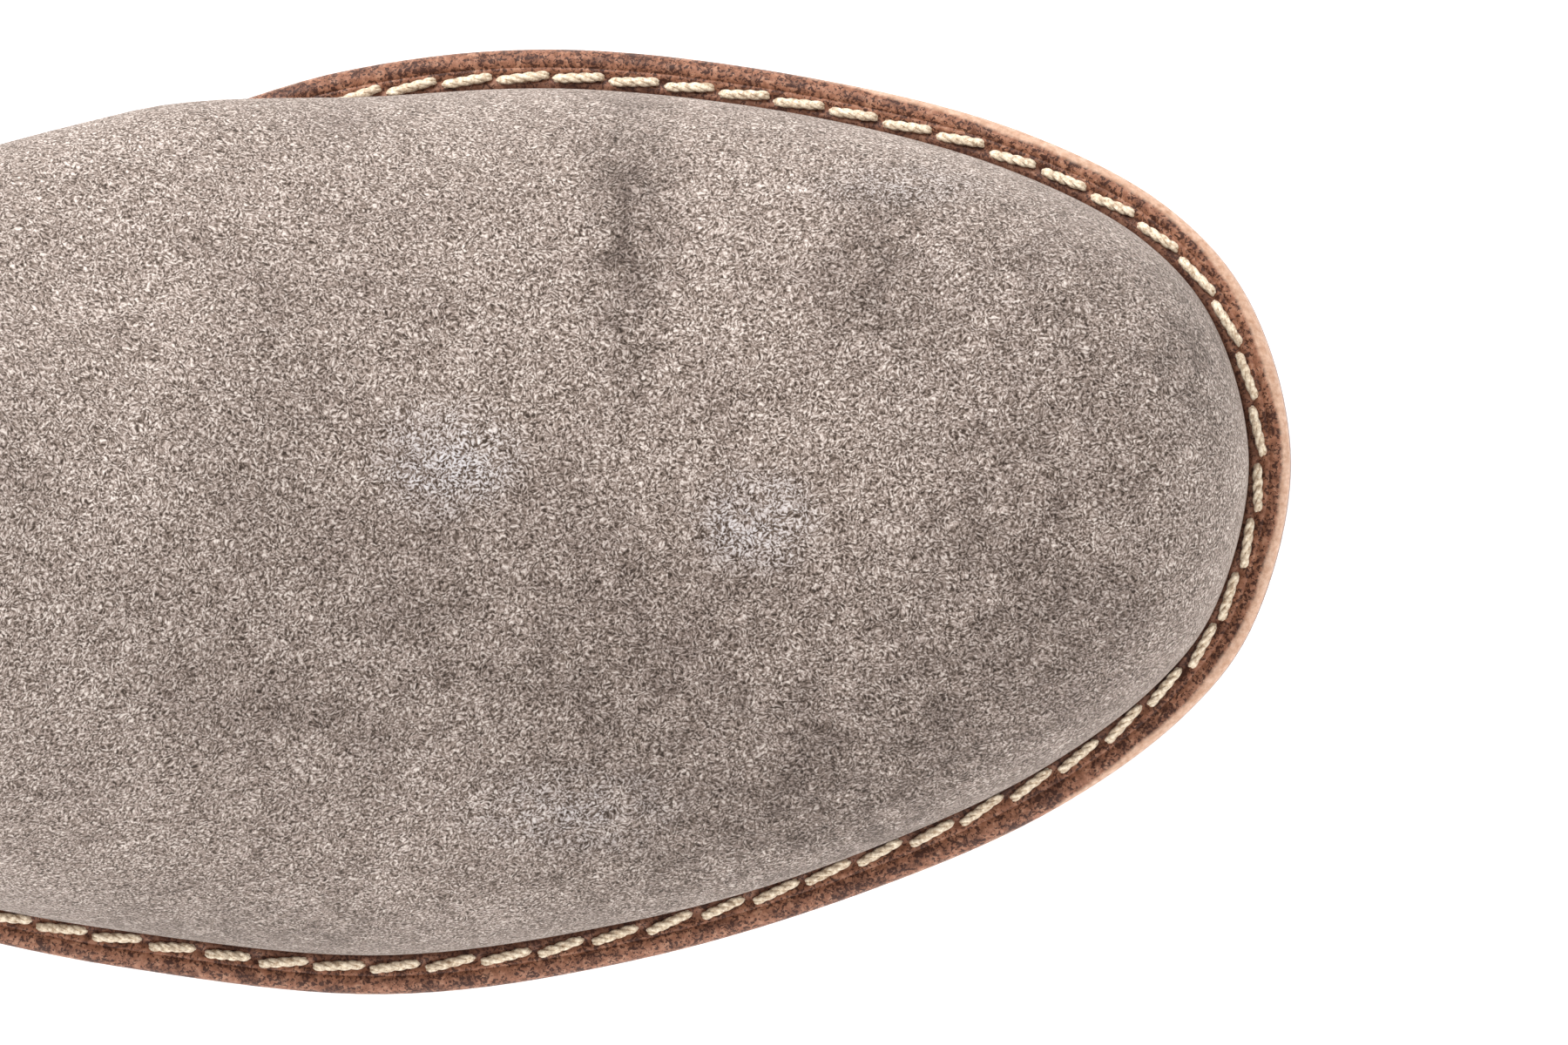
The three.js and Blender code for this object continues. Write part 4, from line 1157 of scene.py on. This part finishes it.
# %% The folded binding
def mouth_frames(line):
    """Tangent, outward normal of the wall, and the way up along the wall, at each step."""
    tangent = np.roll(line, -1, axis=0) - np.roll(line, 1, axis=0)
    tangent /= np.linalg.norm(tangent, axis=1)[:, None]
    normal = np.array([ON_SUEDE.find_nearest(Vector(p))[1] for p in line])
    middle = np.array([line[:, 0].mean(), heel_y, line[:, 2].mean() - 15])
    normal *= np.sign(np.sum(normal * (line - middle), axis=1))[:, None]
    normal = smoothed(normal, 8)
    up = np.cross(tangent, normal)
    up *= np.sign(up[:, 2])[:, None]
    up /= np.linalg.norm(up, axis=1)[:, None]
    normal = np.cross(up, tangent)
    normal *= np.sign(np.sum(normal * (line - middle), axis=1))[:, None]
    return tangent, normal / np.linalg.norm(normal, axis=1)[:, None], up


def u_section():
    """(out of the wall, up the wall) round a folded strip, outer face first."""
    centre, radius, thick, down = -2.2, 3.35, 0.9, -0.4
    arc = np.linspace(0, np.pi, 15)
    thin = radius - thick
    outer = [(centre + radius * math.cos(a), down + radius * 0.55 * math.sin(a)) for a in arc]
    inner = [(centre + thin * math.cos(a), down + (radius * 0.55 - thick) * math.sin(a)) for a in arc[::-1]]
    outer_foot = [(centre + radius - 0.25, -5.1), (centre + radius, -4.7)]
    inner_foot = [(centre - radius, -4.7), (centre - radius + 0.25, -5.1)]
    return np.array([*outer_foot, *outer, *inner_foot, (centre - thin, -4.9), *inner, (centre + thin, -4.9)])


mouth_t, mouth_n, mouth_u = mouth_frames(mouth_line)
rings = [mouth_line + mouth_n * out + mouth_u * up for out, up in u_section()]
binding = mesh_piece("leather_topline_binding", np.vstack(rings), ring_faces(len(rings), len(mouth_line), True))
finish_piece(tidy(binding, 50), BINDING_LEATHER, "welt_leather", "topline_binding")

# %% [markdown]
# ## Insole, footbed and sock
#
# Inside the shoe one sees the sock liner, a leather cover on a moulded foam bed. Both bend with the sole, so
# they are plates like the midsole, with a softer edge. A cloth simulation would swell a loose pad, but this foam
# is 4 mm thick, moulded, and pressed flat under the sock. It is a padded piece.

# %% Footbed, sock and insole
INSOLE = FEATHER + 1.6 + 1.0 + 2 * GLUE  # over the turned-in suede and lining
footbed = slab("foam_footbed", edge_profile(11.0, INSOLE + 2.8, INSOLE + 6.8, 1.4, 5))
finish_piece(footbed, BED_FOAM, "bed_foam", "footbed")
sock = slab("leather_sock_liner", edge_profile(11.6, INSOLE + 7.1, INSOLE + 8.3, 0.5, 4))
finish_piece(sock, LINING_LEATHER, "lining_leather", "sock_liner")
insole = slab("fibre_insole_board", edge_profile(10.3, INSOLE, INSOLE + 2.5, 0.4))
finish_piece(insole, BOARD, "fibreboard", "insole_board")

# %% [markdown]
# ## Layers that nobody sees
#
# Cork, shank, stiffeners, felt and collar foam lie between other layers. Their plain solids already have the
# right shape, so they stay, and only get the finish of what they are.

# %% Finishes for the hidden layers
HIDDEN = {
    "cork_filler": CORK, "shank": STEEL, "toe_puff": BOARD, "heel_counter": BOARD,
    "interlining": FELT, "collar_foam": FELT,
}  # fmt: skip
for node, stuff in HIDDEN.items():
    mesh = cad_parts[node].data
    mesh.materials.clear()
    mesh.materials.append(stuff)
    print(node, "is made of", stuff.name)

# %% [markdown]
# ## Seams of the upper
#
# A fine thread, about three stitches to the centimetre, holds vamp, quarters, wedges and backstay. A row is
# a line in the side view, laid on the wall from the ridge outwards, and one small stitch is copied along it.

# %% Rows on the side walls
FINE_PITCH = 3.1
fine_points, fine_faces = twisted_stitch(2.6, 0.3, 2.4, plies=2, steps=6, sides=4, dive=0.35)


def stitch_place(point, tangent, normal, lift=0.16):
    """A stitch's origin and axes: along the seam, across it, and out of the surface."""
    across = np.cross(normal, tangent)
    across /= np.linalg.norm(across)
    return point + normal * lift, tangent, across, np.cross(tangent, across)


def row_on_wall(line, sign):
    """Places for stitches along a side-view line, on one wall."""
    dense, knots = np.linspace(0, 1, 200), np.linspace(0, 1, len(line))
    x, z = (np.interp(dense, knots, line[:, i]) for i in (0, 1))
    hits = [hit for hit in map(onto_wall, x, z, [sign] * len(x)) if hit]
    points, tangents = along(np.array([point for point, _ in hits]), FINE_PITCH, closed=False)
    found = []
    for p, t in zip(points, tangents):
        n = np.array(ON_SUEDE.find_nearest(Vector(p))[1])
        found.append(stitch_place(p, t, n * np.sign(n[1]) * sign))
    return found


seam_rows = []
side_seam = seam[seam[:, 1] > 33]
for sign in (1, -1):
    for shift in (-1.9, -4.0):
        seam_rows += row_on_wall(side_seam + (shift, 0), sign)
    for edge_line, shift, top in ((gore_front, 1.7, 88), (gore_back, -1.7, 82)):
        share = (top - edge_line[0, 1]) / (edge_line[1, 1] - edge_line[0, 1])
        end = edge_line[0] + (edge_line[1] - edge_line[0]) * share
        seam_rows += row_on_wall(np.array([edge_line[0] + (shift, -1), end + (shift, 0)]), sign)
    seam_rows += row_on_wall(np.array([gore_back[0] + (-1.7, -1.7), gore_front[0] + (1.7, -1.7)]), sign)
print(len(seam_rows), "stitches on the side walls")

# %% [markdown]
# ### Rows on backstay and binding
#
# The backstay's two rows are found by rays from behind, and the binding's row follows the mouth's edge at an
# even depth. All fine stitches are one piece in the end, since they are one kind of thread.

# %% Rows on backstay and binding
BACK = surface_tree(STRIP_OUTER)
for y in (heel_y - STRIP_HALF + 2, heel_y + STRIP_HALF - 2):
    hits = [BACK.ray_cast(Vector((-60, y, z)), Vector((1, 0, 0)))[0] for z in np.linspace(34, 83, 120)]
    column = [np.array(hit) for hit in hits if hit is not None and hit[0] < 25]
    points, tangents = along(np.array(column), FINE_PITCH, closed=False)
    for p, t in zip(points, tangents):
        n = np.array(BACK.find_nearest(Vector(p))[1])
        seam_rows.append(stitch_place(p, t, n * -np.sign(n[0])))
path = mouth_line + mouth_n * 1.2 + mouth_u * -3.9
points, tangents = along(path, FINE_PITCH)
for p, t in zip(points, tangents):
    seam_rows.append(stitch_place(p, t, mouth_n[np.linalg.norm(path - p, axis=1).argmin()], 0.12))
upper_thread = copies("upper_seam_thread", fine_points, fine_faces, seam_rows)
finish_piece(upper_thread, SEAM_THREAD, "thread")
print(len(seam_rows), "fine stitches")

# %% [markdown]
# ## Clearing the bench
#
# The cutters aren't part of the shoe. They go once every piece is cut.

# %% Put the cutters away
CUTTERS = (sky, ahead, behind_seam, wedge, wedge_gap, inner_half, outer_half, strip_box, backstay_sky)
for cutter in CUTTERS:
    bpy.data.objects.remove(cutter)
print(len(CUTTERS), "cutters removed")

# %% [markdown]
# ## The studio
#
# A pale floor that glows a little, so that hardly any shadow falls on it, one large soft light high on the
# inner side, a broad weaker one from the other side, and a low one at the toe for the welt's rim.

# %% Floor and lights
clear_selection()
bpy.ops.mesh.primitive_plane_add(size=6, location=(0, 0, -0.0005))
floor = bpy.context.active_object
floor.name = "studio_floor"
paper = bpy.data.materials.new("matt_white_paper")
paper.use_nodes = True
glow = {"Base Color": "#f7f7f7", "Roughness": 1.0, "Emission Color": "#ffffff", "Emission Strength": 0.45}
floor.data.materials.append(surface(paper, glow))
floor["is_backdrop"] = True


def soft_light(name, place, aim, size, power):
    """A square area light that looks at a point."""
    light = bpy.data.lights.new(name, "AREA")
    light.shape, light.size, light.energy = "SQUARE", size, power
    lamp = bpy.data.objects.new(name, light)
    lamp.location = place
    lamp.rotation_euler = (Vector(aim) - Vector(place)).to_track_quat("-Z", "Y").to_euler()
    bpy.context.scene.collection.objects.link(lamp)


soft_light("key", (-0.7, 1.2, 1.15), (0.05, 0, 0.03), 1.1, 36)
soft_light("fill", (-0.1, -1.4, 0.95), (0.05, 0, 0.03), 1.6, 13)
soft_light("toe", (1.5, -0.3, 0.55), (0.1, 0, 0.02), 0.9, 7)
world = bpy.data.worlds.new("white_room")
bpy.context.scene.world = world
world.use_nodes = True
world.node_tree.nodes["Background"].inputs["Color"].default_value = (1, 1, 1, 1)
world.node_tree.nodes["Background"].inputs["Strength"].default_value = 0.75
print(len(bpy.data.lights), "lights")

# %% [markdown]
# ## The camera
#
# The camera looks almost straight down on the toe, a little from the front, through a long lens. Its right and
# its back are worked out as vectors from a tilt and a small roll, because angles near straight down are easily
# mixed up.

# %% The camera
VIEW_WIDTH, DISTANCE = 0.1764, 1.5
TILT, ROLL = math.radians(3.5), math.radians(-0.32)
target = Vector((0.0919, -0.00026, 0.015))
back = Vector((math.sin(TILT), 0, math.cos(TILT)))
level = Vector((math.cos(TILT), 0, -math.sin(TILT)))
right = level * math.cos(ROLL) + Vector((0, 1, 0)) * math.sin(ROLL)
camera_data = bpy.data.cameras.new("camera")
camera_data.sensor_width = 36
camera_data.lens = 36 * DISTANCE / VIEW_WIDTH
camera = bpy.data.objects.new("camera", camera_data)
camera.location = target + back * DISTANCE
camera.rotation_euler = Matrix((right, back.cross(right), back)).transposed().to_euler()
bpy.context.scene.collection.objects.link(camera)
bpy.context.scene.camera = camera
bpy.context.scene.view_settings.view_transform = "Standard"
print("lens", round(camera_data.lens), "mm")

# %% [markdown]
# ## Sizes
#
# The visual box of the finished shoe is printed in millimetres.

# %% Print the visual box
low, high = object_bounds()
print("visual box, mm:", [round(v / MM, 1) for v in (*low, *high)])
